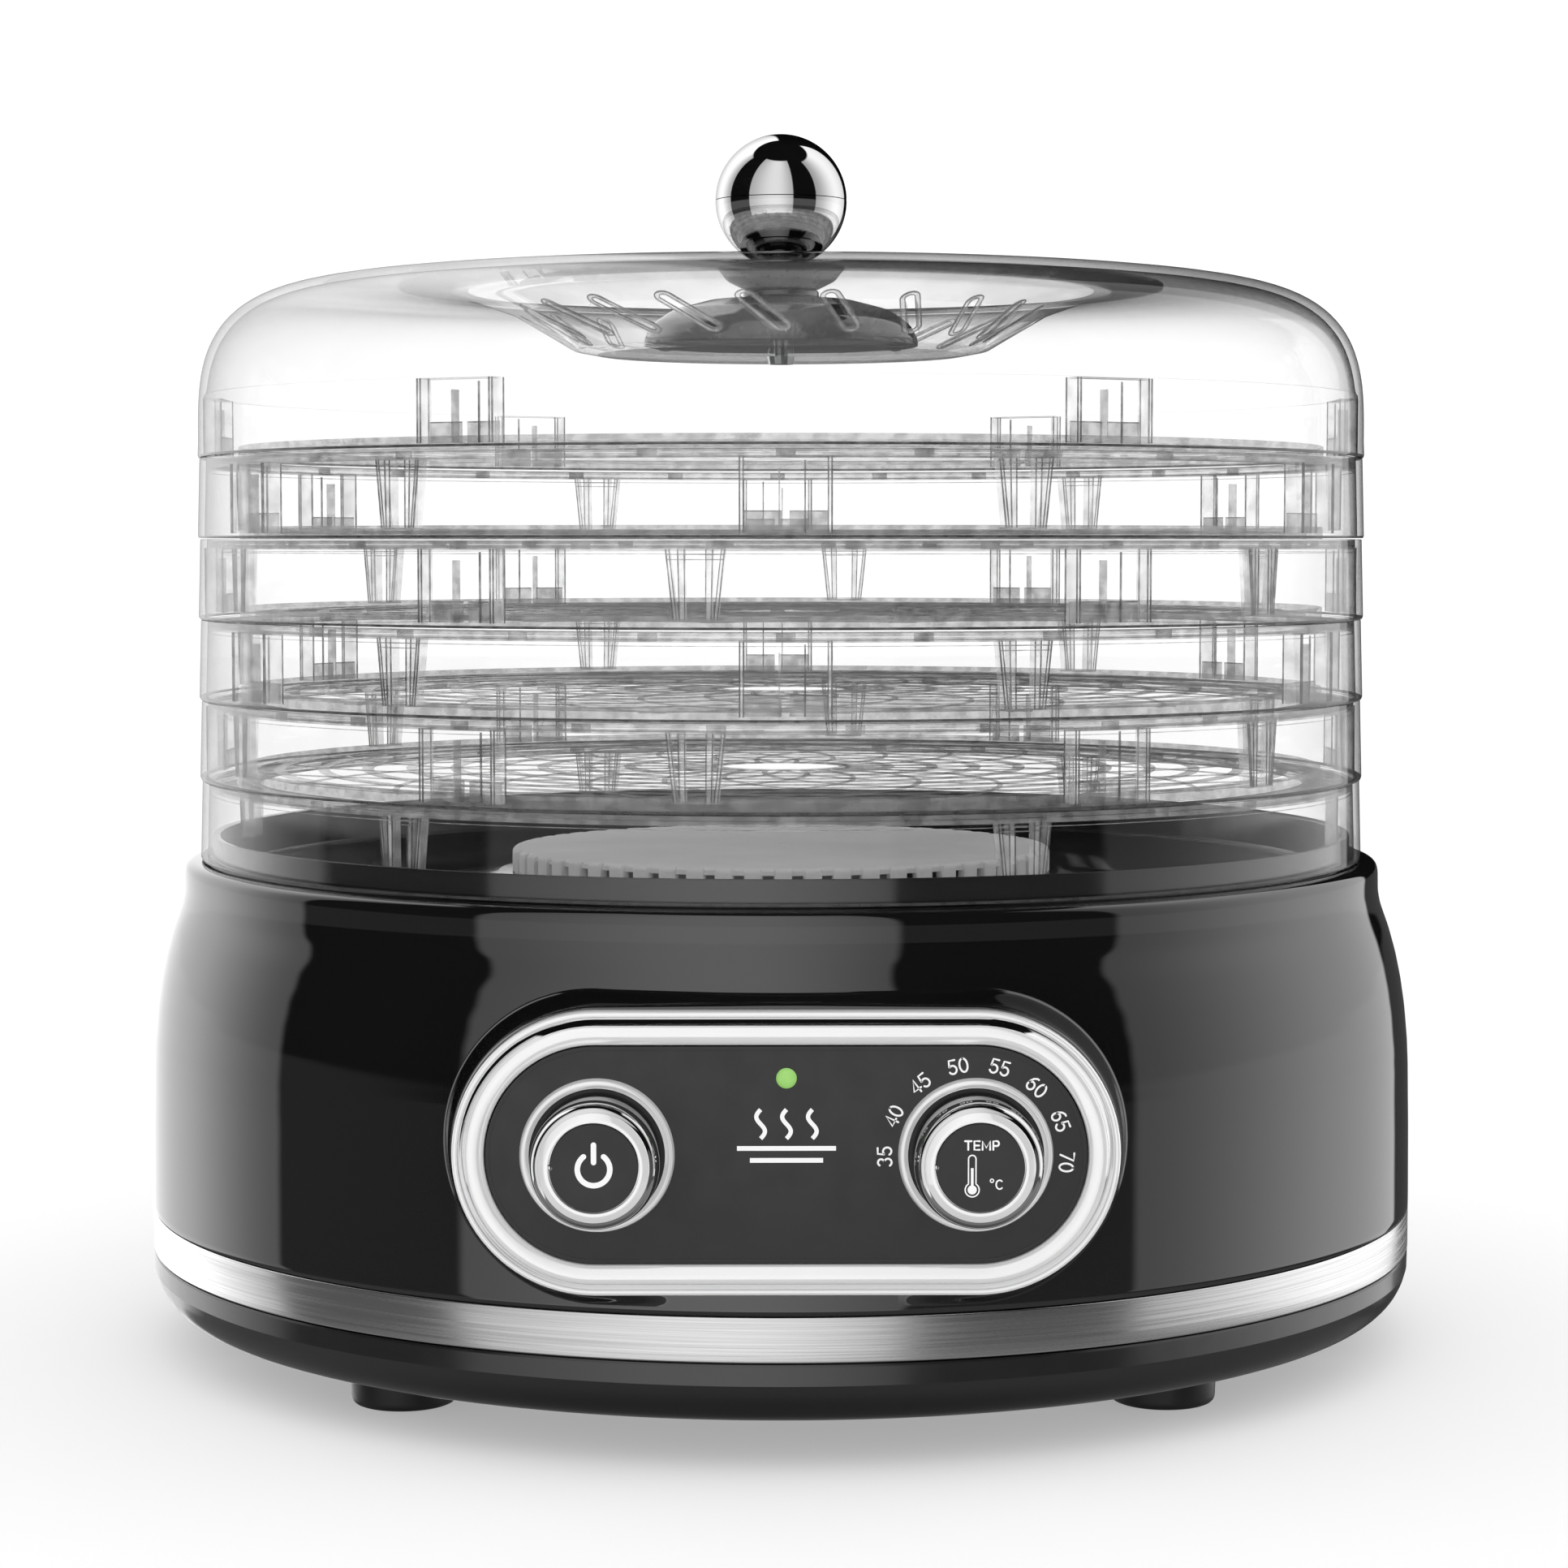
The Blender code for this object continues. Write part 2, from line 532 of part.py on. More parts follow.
def controls():
    button = new_empty("power_button_axis", (-KNOB_OFFSET, 0.0, 0.0), parent=PANEL)
    dial = new_empty("temp_knob_axis", (KNOB_OFFSET, 0.0, 0.0), parent=PANEL)
    spindle_end = SWITCH_FRONT - 0.0015
    knob("power_button", "power_button_face", "power_plunger", button, spindle_end)
    knob("temp_knob", "temp_knob_face", "temp_spindle", dial, spindle_end)
    bore = SPINDLE_RADIUS + GAP
    switch = block("power_switch", (-KNOB_OFFSET - 0.0095, -0.0110, SWITCH_FRONT - 0.0200),
                   (-KNOB_OFFSET + 0.0095, 0.0110, SWITCH_FRONT), "white_plastic", PANEL)
    depth = 0.0015 + BUTTON_TRAVEL + 2 * GAP
    hole = Matrix.Translation((-KNOB_OFFSET, 0.0, SWITCH_FRONT - depth / 2 + 0.0005))
    hole = hole @ Matrix.Diagonal((2 * bore, 2 * bore, depth + 0.0010, 1.0))
    combine(switch, "DIFFERENCE", solids("plunger_hole", [hole], sides=12, parent=PANEL))
    end = spindle_end - GAP
    can = [(0.0, end), (bore, end), (bore, SWITCH_FRONT), (0.0130, SWITCH_FRONT), (0.0140, SWITCH_FRONT - 0.0010),
           (0.0140, SWITCH_FRONT - 0.0140), (0.0, SWITCH_FRONT - 0.0140)]
    turned("thermostat", can, "galvanised", PANEL, closed=False, segments=SMALL_SEGMENTS,
           location=(KNOB_OFFSET, 0.0, 0.0))


# Supply and wiring

LEAD_GAP = 0.0006

def electrics():
    bush = [(0.0038, 0.0030), (0.0095, 0.0030), (0.0110, 0.0018), (0.0110, 0.0), (INLET_RADIUS, 0.0),
            (INLET_RADIUS, -0.0090), (0.0038, -0.0090)]
    turned("cord_bush", bush, "black_rubber", AXIS, segments=16,
           location=(0.0, REAR_REACH - 0.0030, INLET_Z), rotation=(math.radians(-90), 0.0, 0.0))
    floor = COVER_BOTTOM + 0.0025 + GAP
    block("terminal_block", (-0.0160, 0.1180, floor), (0.0160, 0.1300, floor + 0.0110), "white_plastic", AXIS)
    top = floor + 0.0110 + LEAD_GAP
    straight = 0.0050
    switch_y = LEAD_GAP - (SWITCH_FRONT - 0.0200 + PANEL_FRONT)
    can_y = LEAD_GAP - (SWITCH_FRONT - 0.0140 + PANEL_FRONT)
    left, right = -KNOB_OFFSET, KNOB_OFFSET
    supply = [(0.0, 0.1652, INLET_Z), (0.0, 0.1600, INLET_Z), (0.0, 0.1450, 0.0500), (0.0, 0.1300, 0.0380),
              (0.0, 0.1240, top + 2 * straight), (0.0, 0.1240, top)]
    live = [(-0.0100, 0.1240, top), (-0.0100, 0.1240, top + straight), (-0.0300, 0.1220, 0.0360),
            (-0.0700, 0.1080, 0.0360), (-0.1120, 0.0500, 0.0400), (-0.1200, -0.0200, 0.0440),
            (-0.1000, -0.0900, 0.0560), (-0.0600, -0.1250, 0.0720), (left, switch_y + straight, PANEL_Z),
            (left, switch_y, PANEL_Z)]
    link_height = PANEL_Z + 0.0050
    link = [(left + 0.0050, switch_y, link_height), (left + 0.0050, switch_y + straight, link_height),
            (-0.0250, -0.1300, 0.0830), (0.0, -0.1240, 0.0860), (0.0250, -0.1360, 0.0830),
            (right - 0.0050, can_y + straight, PANEL_Z), (right - 0.0050, can_y, PANEL_Z)]
    fuse_x = DUCT_RADIUS + 0.0037
    heat = [(right + 0.0060, can_y, PANEL_Z), (right + 0.0060, can_y + straight, PANEL_Z),
            (0.0600, -0.1260, 0.0780), (0.0900, -0.0800, 0.0820), (0.0920, -0.0300, 0.0860),
            (0.0780, -0.0060, 0.0880), (fuse_x, 0.0, 0.0940), (fuse_x, 0.0, 0.0980), (fuse_x, 0.0, 0.1010 - LEAD_GAP)]
    wire("supply_lead", smooth_route(supply), 0.0030, "white_sleeve", AXIS, 1)
    wire("live_lead", smooth_route(live, 3), 0.0012, "red_sleeve", AXIS)
    wire("switch_link", smooth_route(link, 3), 0.0012, "blue_sleeve", AXIS)
    wire("heater_lead", smooth_route(heat, 3), 0.0012, "red_sleeve", AXIS)


# Trays

BLOCK_HALF_WIDTH = 0.0109
BLOCK_INNER = 0.1500
BLOCK_OUTER = 0.1586
POCKET_BOTTOM = 0.0070      # clears the collar of the deck
LEDGE_RADIUS = 0.1440
FLOOR_RADIUS = 0.1485
POST_RADIUS = 0.1510
POST_BOTTOM = FLOOR_TOP - TRAY_PITCH + GAP      # stands just clear of the next floor down
WINDOW_WIDTH = 0.0360
WINDOW_ROWS = ((0.0200, 1), (0.0620, 2), (0.1040, 2))     # inner radius, sides of each arc


def pockets(name, low, high):
    """Six upright blocks inside a ring's wall, which stiffen it and key it to its neighbour."""
    size = (BLOCK_OUTER - BLOCK_INNER, 2 * BLOCK_HALF_WIDTH, high - low)
    centre = ((BLOCK_OUTER + BLOCK_INNER) / 2, 0.0, (low + high) / 2)
    return solids(name, [placed(centre, size, 60 * i) for i in range(6)])


def joined(obj):
    """The mesh that an object's booleans give. The object and its tools are removed."""
    mesh = evaluated_mesh(obj)
    tools = [modifier.object for modifier in obj.modifiers if modifier.type == "BOOLEAN"]
    for spent in tools + [obj]:
        bpy.data.objects.remove(spent, do_unlink=True)
    return mesh


def tray_ring():
    """A tray without its floor, at its own origin: a ring wall with a ledge inside its top, pockets and posts."""
    ring = turned("tray_ring", [
        (LEDGE_RADIUS, FLANGE_TOP), (TRAY_TOP_RADIUS - WALL, FLANGE_TOP), (TRAY_TOP_RADIUS - WALL, TRAY_TOP),
        (TRAY_TOP_RADIUS, TRAY_TOP), (TRAY_SKIRT_RADIUS, 0.0), (TRAY_SKIRT_RADIUS - WALL, 0.0),
        (TRAY_TOP_RADIUS - WALL, FLANGE_BOTTOM), (LEDGE_RADIUS, FLANGE_BOTTOM),
    ])
    top = FLANGE_BOTTOM + 0.0010
    combine(ring, "UNION", pockets("tray_pockets", POCKET_BOTTOM, top))
    middle = (POST_BOTTOM + top) / 2
    posts = [placed((POST_RADIUS, 0.0, middle), (0.0050, 0.0140, top - POST_BOTTOM), 22 + 60 * i) for i in range(6)]
    combine(ring, "UNION", solids("tray_posts", posts, bottom_scale=0.7))
    return joined(ring)


def tray_floor():
    """A round plate with rings of arc-shaped windows, at its tray's own origin."""
    windows = [sector(inner, inner + WINDOW_WIDTH, start + 1.5, start + 58.5, steps)
               for inner, steps in WINDOW_ROWS for start in range(-8, 352, 60)]
    floor = plate("floor_plate", [circle(FLOOR_RADIUS)] + windows, FLOOR_BOTTOM, FLOOR_TOP)
    mesh = floor.data.copy()
    mesh.transform(Matrix.Translation(floor.location))
    bpy.data.objects.remove(floor, do_unlink=True)
    return mesh


def trays():
    """Five alike trays, numbered from the top, each turned half a pitch from the next."""
    ring, floor = tray_ring(), tray_floor()
    for number in range(1, TRAY_COUNT + 1):
        seat = (0.0, 0.0, TRAY_SEAT_Z + (TRAY_COUNT - number) * TRAY_PITCH)
        turn = (0.0, 0.0, math.radians(-90 + (30 if number % 2 == 0 else 0)))
        add_object(f"tray_{number}", ring.copy(), "clear_plastic", AXIS, seat, turn)
        add_object(f"tray_{number}_floor", floor.copy(), "clear_plastic", AXIS, seat, turn)
    bpy.data.meshes.remove(ring)
    bpy.data.meshes.remove(floor)


# Lid

LID_WALL_TOP = 0.2462
LID_EXPONENT = 3.2
LID_STEPS = 5
SLOT_COUNT = 20
SLOT_TWIST = -32
SLOT_START = 13.6
FUNNEL_RADIUS = 0.0862
FUNNEL_FLOOR_TOP = 0.2730
BORE = 0.0022
SADDLE_TOP = 0.2886
SAUCER_TOP = 0.2952


def shoulder(inset):
    """Points of the lid's round shoulder, from its crest down to its wall."""
    points = []
    for i in range(LID_STEPS + 1):
        t = math.pi / 2 * (1 - i / LID_STEPS) ** 1.7
        radius = LID_CREST_RADIUS + (0.1601 - inset - LID_CREST_RADIUS) * math.cos(t) ** (2 / LID_EXPONENT)
        height = LID_WALL_TOP + (LID_CREST_Z - inset - LID_WALL_TOP) * math.sin(t) ** (2 / LID_EXPONENT)
        points.append((radius, height))
    return points


def lid_dome():
    """The lid's wall and round shoulder, with the funnel as a separate piece inside its crest."""
    thick = 0.0020
    inner_top = 0.2881
    dome = [(FUNNEL_RADIUS + GAP, inner_top)] + shoulder(0.0)
    dome += [(0.1603, LID_SEAT_Z), (0.1603 - WALL, LID_SEAT_Z)]
    dome += shoulder(thick)[::-1] + [(FUNNEL_RADIUS + GAP, inner_top - thick)]
    lid = turned("lid_dome", dome, "clear_plastic", AXIS)
    lid_pockets = pockets("lid_pockets", LID_SEAT_Z + 0.0010, LID_SEAT_Z + 0.0166)
    lid_pockets.parent = AXIS
    combine(lid, "UNION", lid_pockets)
    floor = FUNNEL_FLOOR_TOP
    funnel = turned("lid_funnel", [
        (BORE, floor), (0.0500, floor), (0.0565, floor + 0.0012), (0.0725, 0.2834), (FUNNEL_RADIUS, 0.2880),
        (FUNNEL_RADIUS, 0.2860), (0.0740, 0.2817), (0.0575, floor - 0.0010), (0.0510, floor - 0.0022),
        (BORE, floor - 0.0022),
    ], "clear_plastic", AXIS)
    slope = math.degrees(math.atan2(0.2834 - 0.2742, 0.0725 - 0.0565))
    slots = [placed((0.0645, 0.0, 0.2788), (0.0190, 0.0026, 0.0120), SLOT_START + spin, -slope, SLOT_TWIST)
             for spin in range(0, 360, 360 // SLOT_COUNT)]
    combine(funnel, "DIFFERENCE", solids("lid_slots", slots, parent=AXIS))


def lid_knob():
    seat = FUNNEL_FLOOR_TOP + GAP
    saddle = [(BORE, SADDLE_TOP), (0.0105, SADDLE_TOP), (0.0105, 0.2862), (0.0200, 0.2856), (0.0300, 0.2830),
              (0.0360, 0.2790), (0.0380, 0.2752), (0.0380, seat), (BORE, seat)]
    turned("knob_saddle", saddle, "gloss_black", AXIS, segments=SMALL_SEGMENTS)
    under = SADDLE_TOP + GAP
    saucer = [(BORE, under + 0.0030), (0.0090, under + 0.0032), (0.0168, SAUCER_TOP), (0.0180, SAUCER_TOP),
              (0.0150, under + 0.0023), (0.0102, under), (BORE, under)]
    turned("knob_saucer", saucer, "chrome", AXIS, segments=SMALL_SEGMENTS)
    steps = 6
    upper = []
    for i in range(steps + 1):
        angle = math.pi / 2 * i / steps
        upper.append((BALL_RADIUS * math.sin(angle), BALL_Z + BALL_RADIUS * math.cos(angle)))
    upper[-1] = (BALL_RADIUS, BALL_Z + GAP / 2)
    upper[0] = (0.0, BALL_Z + BALL_RADIUS)
    upper.append((0.0, BALL_Z + GAP / 2))
    turned("knob_ball_upper", upper, "chrome", AXIS, closed=False, segments=SMALL_SEGMENTS)
    stem_radius = 0.0065
    stem_bottom = under + 0.0032 + GAP
    lower = [(0.0, BALL_Z - GAP / 2)]
    last = math.acos(stem_radius / BALL_RADIUS)
    for i in range(steps):
        angle = last * i / (steps - 1)
        lower.append((BALL_RADIUS * math.cos(angle), BALL_Z - GAP / 2 - BALL_RADIUS * math.sin(angle)))
    hole_end = 0.3060
    lower += [(stem_radius, stem_bottom), (BORE, stem_bottom), (BORE, hole_end), (0.0, hole_end)]
    turned("knob_ball_lower", lower, "chrome", AXIS, closed=False, segments=SMALL_SEGMENTS)
    head_top = FUNNEL_FLOOR_TOP - 0.0022 - GAP
    shank = BORE - GAP
    screw = [(0.0, hole_end - 0.0006), (shank, hole_end - 0.0006), (shank, head_top), (0.0038, head_top),
             (0.0034, head_top - 0.0022), (0.0, head_top - 0.0022)]
    turned("knob_screw", screw, "galvanised", AXIS, closed=False, segments=12)


clear_scene()
PARTS = new_collection("food_dehydrator")
CUTTERS = new_collection("cutters")
AXIS = new_empty("turning_axis", (0.0, AXIS_Y, 0.0))
PANEL = new_empty("panel_centre", (0.0, -PANEL_FRONT, PANEL_Z), (math.radians(90), 0.0, 0.0), AXIS)
base_housing()
chrome_band()
bottom_cover()
cover_screws()
feet()
top_deck()
air_diffuser()
motor_and_fan()
heater()
panel_parts()
controls()
electrics()
trays()
lid_dome()
lid_knob()
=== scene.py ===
"""Looks of the round five-tray food dehydrator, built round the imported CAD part."""

import math

import bmesh
import bpy
import numpy as np
from mathutils import Matrix, Vector


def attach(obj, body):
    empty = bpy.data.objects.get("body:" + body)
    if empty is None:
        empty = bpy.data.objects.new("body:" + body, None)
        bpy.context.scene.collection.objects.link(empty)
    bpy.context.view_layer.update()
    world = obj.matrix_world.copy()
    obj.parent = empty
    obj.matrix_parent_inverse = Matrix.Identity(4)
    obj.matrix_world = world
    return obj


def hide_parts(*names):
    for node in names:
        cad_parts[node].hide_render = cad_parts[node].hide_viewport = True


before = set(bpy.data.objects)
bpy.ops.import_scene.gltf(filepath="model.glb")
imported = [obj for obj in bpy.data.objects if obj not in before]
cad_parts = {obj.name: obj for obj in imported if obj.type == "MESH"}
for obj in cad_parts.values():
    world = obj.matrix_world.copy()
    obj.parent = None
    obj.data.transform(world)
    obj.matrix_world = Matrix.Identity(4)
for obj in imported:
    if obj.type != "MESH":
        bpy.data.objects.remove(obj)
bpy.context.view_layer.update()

# Sizes shared with the CAD part, in metres
AXIS_Y = 0.00895            # the turned parts' axis
GAP = 0.0003
PANEL_FRONT = 0.1785        # front of the bezel, from the axis
PANEL_Z = 0.0770
PANEL_LENGTH = 0.1400
PANEL_HEIGHT = 0.0508
BEZEL_WIDTH = 0.0080
FASCIA_FRONT = -0.0010      # in the panel's own axes, where z = 0 is the bezel's front
KNOB_OFFSET = 0.0440
KNOB_REACH = 0.0170
TRAY_SEAT_Z = 0.1331
TRAY_PITCH = 0.02176
LID_SEAT_Z = 0.2419
SHELL_SIDES = 384           # sides of the housing and what has to meet it
CLEAR_SIDES = 192           # sides of the trays and the lid


# Placing

def move(x, y=0.0, z=0.0):
    return Matrix.Translation((x, y, z))


def turn(degrees, axis="Z"):
    return Matrix.Rotation(math.radians(degrees), 4, axis)


AXIS = move(0.0, AXIS_Y)
PANEL = move(0.0, AXIS_Y - PANEL_FRONT, PANEL_Z) @ turn(90, "X")


# Node helpers

class Nodes:
    """A material or world node tree, with short calls for its maths."""

    def __init__(self, tree):
        self.tree = tree
        self.tree.nodes.clear()

    def add(self, kind, **settings):
        node = self.tree.nodes.new(kind)
        for key, value in settings.items():
            setattr(node, key, value)
        return node

    def feed(self, socket, value):
        if isinstance(value, bpy.types.NodeSocket):
            self.tree.links.new(value, socket)
        else:
            socket.default_value = value

    def put(self, node, **values):
        """Feeds a node's inputs, which are named with underscores for spaces."""
        for name, value in values.items():
            self.feed(node.inputs[name.replace("_", " ")], value)
        return node

    def maths(self, operation, *values, clamp=False):
        node = self.add("ShaderNodeMath", operation=operation, use_clamp=clamp)
        for socket, value in zip(node.inputs, values):
            self.feed(socket, value)
        return node.outputs[0]

    def ramp(self, value, low, high, start=0.0, end=1.0):
        """start below low, end above high, and a smooth step in between."""
        node = self.add("ShaderNodeMapRange", interpolation_type="SMOOTHSTEP")
        self.put(node, Value=value, From_Min=low, From_Max=high, To_Min=start, To_Max=end)
        return node.outputs["Result"]

    def blend(self, factor, first, second):
        node = self.add("ShaderNodeMix", data_type="RGBA")
        self.feed(node.inputs["Factor"], factor)
        colours = [socket for socket in node.inputs if socket.type == "RGBA"]
        self.feed(colours[0], first)
        self.feed(colours[1], second)
        return [socket for socket in node.outputs if socket.type == "RGBA"][0]

    def noise(self, place, scale, detail=3.0, roughness=0.5):
        node = self.add("ShaderNodeTexNoise")
        return self.put(node, Vector=place, Scale=scale, Detail=detail, Roughness=roughness).outputs["Fac"]

    def stretched(self, place, size):
        return self.put(self.add("ShaderNodeMapping"), Vector=place, Scale=size).outputs["Vector"]

    def bump(self, height, strength, distance):
        node = self.add("ShaderNodeBump")
        return self.put(node, Height=height, Strength=strength, Distance=distance).outputs["Normal"]

    def surface(self, factor, first, second, output="ShaderNodeOutputMaterial"):
        """Sends the mix of two shaders to the output."""
        mix = self.add("ShaderNodeMixShader")
        for socket, value in zip(mix.inputs, (factor, first.outputs[0], second.outputs[0])):
            self.feed(socket, value)
        self.put(self.add(output), Surface=mix.outputs[0])


def shade(colour, level=1.0):
    return (colour[0] * level, colour[1] * level, colour[2] * level, 1.0)


def grey(level):
    return (level, level, level, 1.0)


def bare_material(name):
    material = bpy.data.materials.new(name)
    material.use_nodes = True
    nodes = Nodes(material.node_tree)
    return material, nodes, nodes.add("ShaderNodeTexCoord").outputs["Object"]


def new_material(name):
    material, nodes, place = bare_material(name)
    shader = nodes.add("ShaderNodeBsdfPrincipled")
    nodes.put(nodes.add("ShaderNodeOutputMaterial"), Surface=shader.outputs["BSDF"])
    return material, nodes, shader, place


def moulded(name, colour, roughness, grain=900.0, depth=0.00002, strength=0.25, ior=1.5, mottling=0.12):
    """Moulded plastic or rubber: a fine grain, and slow changes of tone and gloss."""
    material, nodes, shader, place = new_material(name)
    slow = nodes.noise(place, 35.0, 4.0)
    fine = nodes.noise(place, grain, 2.0)
    gloss = nodes.ramp(nodes.noise(place, 120.0), 0.3, 0.7, roughness * 0.85, min(1.0, roughness * 1.15))
    nodes.put(shader, Base_Color=nodes.blend(slow, shade(colour, 1 - mottling), shade(colour, 1 + mottling)),
              Roughness=gloss, IOR=ior, Normal=nodes.bump(fine, strength, depth))
    return material


def metal(name, colour, roughness, grain=400.0, depth=0.00001, strength=0.15, wear=0.1, purity=1.0, rim=1.0):
    """Plain or plated metal with slight changes of tone and polish."""
    material, nodes, shader, place = new_material(name)
    slow = nodes.noise(place, 60.0, 5.0)
    fine = nodes.noise(place, grain, 3.0)
    nodes.put(shader, Base_Color=nodes.blend(slow, shade(colour, 1 - wear), shade(colour)), Metallic=purity,
              Specular_Tint=grey(rim), Roughness=nodes.ramp(fine, 0.3, 0.7, roughness * 0.7, roughness * 1.3),
              Normal=nodes.bump(fine, strength, depth))
    return material


def gloss_black():
    """Polished black plastic, with a faint haze and hairline scuffs."""
    material, nodes, shader, place = new_material("gloss_black")
    haze = nodes.noise(place, 14.0, 4.0)
    scuffs = nodes.noise(nodes.stretched(place, (1.0, 1.0, 12.0)), 300.0, 2.0)
    tone = nodes.blend(haze, shade((0.0042, 0.0042, 0.0044)), shade((0.0062, 0.0062, 0.0066)))
    nodes.put(shader, Base_Color=tone, Roughness=nodes.ramp(scuffs, 0.35, 0.75, 0.02, 0.045), IOR=2.1)
    return material


def brushed_band():
    """Steel brushed round the axis: long fine streaks in gloss and tone."""
    material, nodes, shader, place = new_material("brushed_band")
    streaks = nodes.noise(nodes.stretched(place, (5.0, 5.0, 900.0)), 2.4, 5.0, 0.6)
    nodes.put(shader, Base_Color=nodes.blend(nodes.ramp(streaks, 0.3, 0.7), grey(0.80), grey(0.99)), Metallic=1.0,
              Roughness=nodes.ramp(streaks, 0.3, 0.7, 0.30, 0.16), Normal=nodes.bump(streaks, 0.25, 0.00006))
    return material


def clear_plastic():
    """Clear styrene in thin walls: it shows what is behind it unbent, and greys and mirrors at a glancing angle.
    Right at the limb its see-through colour goes nearly black and its mirroring is held back, a painted shade that
    draws dark edges on the walls and the dome.
    """
    material, nodes, place = bare_material("clear_plastic")
    facing = nodes.put(nodes.add("ShaderNodeLayerWeight"), Blend=0.5).outputs["Facing"]
    glancing = nodes.maths("POWER", facing, 5.0)
    # painted shade: weight that darkens the see-through colour nearly to black at the limb
    painted_limb_shade = nodes.maths("POWER", facing, 16.0)
    flow = nodes.noise(place, 25.0, 2.0)
    veiled = nodes.blend(glancing, nodes.blend(flow, grey(0.985), grey(1.0)), grey(0.72))
    through = nodes.put(nodes.add("ShaderNodeBsdfTransparent"), Color=nodes.blend(painted_limb_shade, veiled, grey(0.10)))
    polish = nodes.ramp(flow, 0.3, 0.7, 0.0, 0.03)
    gloss = nodes.put(nodes.add("ShaderNodeBsdfGlossy"), Color=grey(1.0), Roughness=polish)
    shine = nodes.maths("MULTIPLY", nodes.maths("SUBTRACT", glancing, nodes.maths("MULTIPLY", painted_limb_shade, 0.8)), 0.60)
    nodes.surface(nodes.maths("ADD", shine, 0.025, clamp=True), through, gloss)
    return material


def veiled_plastic(name, tone, cover, scale):
    """Clear styrene where it is thick or crossed by small ribs, drawn with a painted veil: part of it is a flat grey
    or white that stands in for the shade and glints that bent and mirrored light give clear plastic, the rest shows
    through.
    """
    material, nodes, place = bare_material(name)
    flecks = nodes.noise(place, scale, 3.0)
    through = nodes.put(nodes.add("ShaderNodeBsdfTransparent"), Color=grey(1.0))
    colour = nodes.blend(nodes.ramp(flecks, 0.35, 0.65), grey(tone * 0.6), grey(tone * 1.4))
    painted_veil = nodes.put(nodes.add("ShaderNodeBsdfPrincipled"), Base_Color=colour, Roughness=0.22)
    nodes.surface(nodes.ramp(flecks, 0.30, 0.70, cover * 1.2, cover * 0.8), through, painted_veil)
    return material


def lamp_lens():
    """Green lens of the lamp, which glows a little."""
    material, nodes, shader, place = new_material("lamp_lens")
    cells = nodes.noise(place, 700.0, 2.0)
    nodes.put(shader, Base_Color=nodes.blend(cells, shade((0.26, 0.54, 0.12)), shade((0.33, 0.62, 0.17))),
              Roughness=0.35, Emission_Color=shade((0.30, 0.62, 0.14)), Emission_Strength=0.12)
    return material


# Mesh helpers

def link(name, data):
    obj = bpy.data.objects.new(name, data)
    bpy.context.scene.collection.objects.link(obj)
    return obj


def finish_mesh(name, mesh, material, body, replaces, place, sharp=35.0):
    """Makes one visible piece, on its body, in the place of the CAD nodes it replaces."""
    mesh.name = name
    obj = link(name, mesh)
    mesh.transform(place)
    mesh.shade_smooth()
    mesh.set_sharp_from_angle(angle=math.radians(sharp))
    for entry in material if isinstance(material, list) else [material]:
        mesh.materials.append(entry)
    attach(obj, body)
    if replaces:
        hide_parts(*replaces)
    return obj


def rounded(profile, radius=0.0003, steps=3):
    """The same outline of (radius, height) points with its corners rounded. A third entry sets a corner's radius."""
    points = [(*p, radius)[:3] for p in profile]
    count = len(points)
    result = []
    for i, (x, y, wanted) in enumerate(points):
        here = Vector((x, y))
        before, after = Vector(points[i - 1][:2]), Vector(points[(i + 1) % count][:2])
        a, b = before - here, after - here
        plain = wanted <= 0 or x <= 1e-7 or a.length < 1e-9 or b.length < 1e-9
        angle = math.pi if plain else a.angle(b)
        if angle > math.radians(172):
            result.append((x, y))
            continue
        reach = min(wanted / math.tan(angle / 2), a.length * 0.48, b.length * 0.48)
        start, end = here + a.normalized() * reach, here + b.normalized() * reach
        for k in range(steps + 1):
            t = k / steps
            point = start * (1 - t) ** 2 + here * 2 * t * (1 - t) + end * t ** 2
            result.append((point.x, point.y))
    return result


def lathe_data(profile, segments, closed=True, start=0.0, sweep=360.0):
    """Vertices and faces of an outline of (radius, height) points turned about +Z."""
    full = abs(sweep - 360.0) < 1e-6
    columns = segments if full else segments + 1
    vertices, index = [], []
    for radius, height in profile:
        if radius < 1e-7:
            vertices.append((0.0, 0.0, height))
            index.append([len(vertices) - 1] * columns)
            continue
        first = len(vertices)
        for i in range(columns):
            angle = math.radians(start + sweep * i / segments)
            vertices.append((radius * math.cos(angle), radius * math.sin(angle), height))
        index.append(list(range(first, first + columns)))
    rows = len(profile)
    faces = []
    for row in range(rows if closed else rows - 1):
        lower, upper = index[row], index[(row + 1) % rows]
        for i in range(segments):
            k = (i + 1) % columns if full else i + 1
            ring = [lower[i], lower[k], upper[k], upper[i]]
            ring = [v for n, v in enumerate(ring) if v != ring[n - 1]]
            if len(ring) > 2:
                faces.append(ring)
    if not full and closed:
        faces.append([index[row][0] for row in range(rows)])
        faces.append([index[row][-1] for row in reversed(range(rows))])
    return vertices, faces


def mesh_from(vertices, faces):
    mesh = bpy.data.meshes.new("piece")
    mesh.from_pydata([tuple(v) for v in vertices], [], faces)
    shape = bmesh.new()
    shape.from_mesh(mesh)
    bmesh.ops.recalc_face_normals(shape, faces=shape.faces)
    shape.to_mesh(mesh)
    shape.free()
    return mesh


def block(inner, outer, bottom, top):
    """A plain rectangular outline of (radius, height) points."""
    return [(inner, top), (outer, top), (outer, bottom), (inner, bottom)]


def lathe(name, profile, material, body, replaces, place=AXIS, segments=128, closed=True, sharp=35.0):
    vertices, faces = lathe_data(profile, segments, closed)
    return finish_mesh(name, mesh_from(vertices, faces), material, body, replaces, place, sharp)


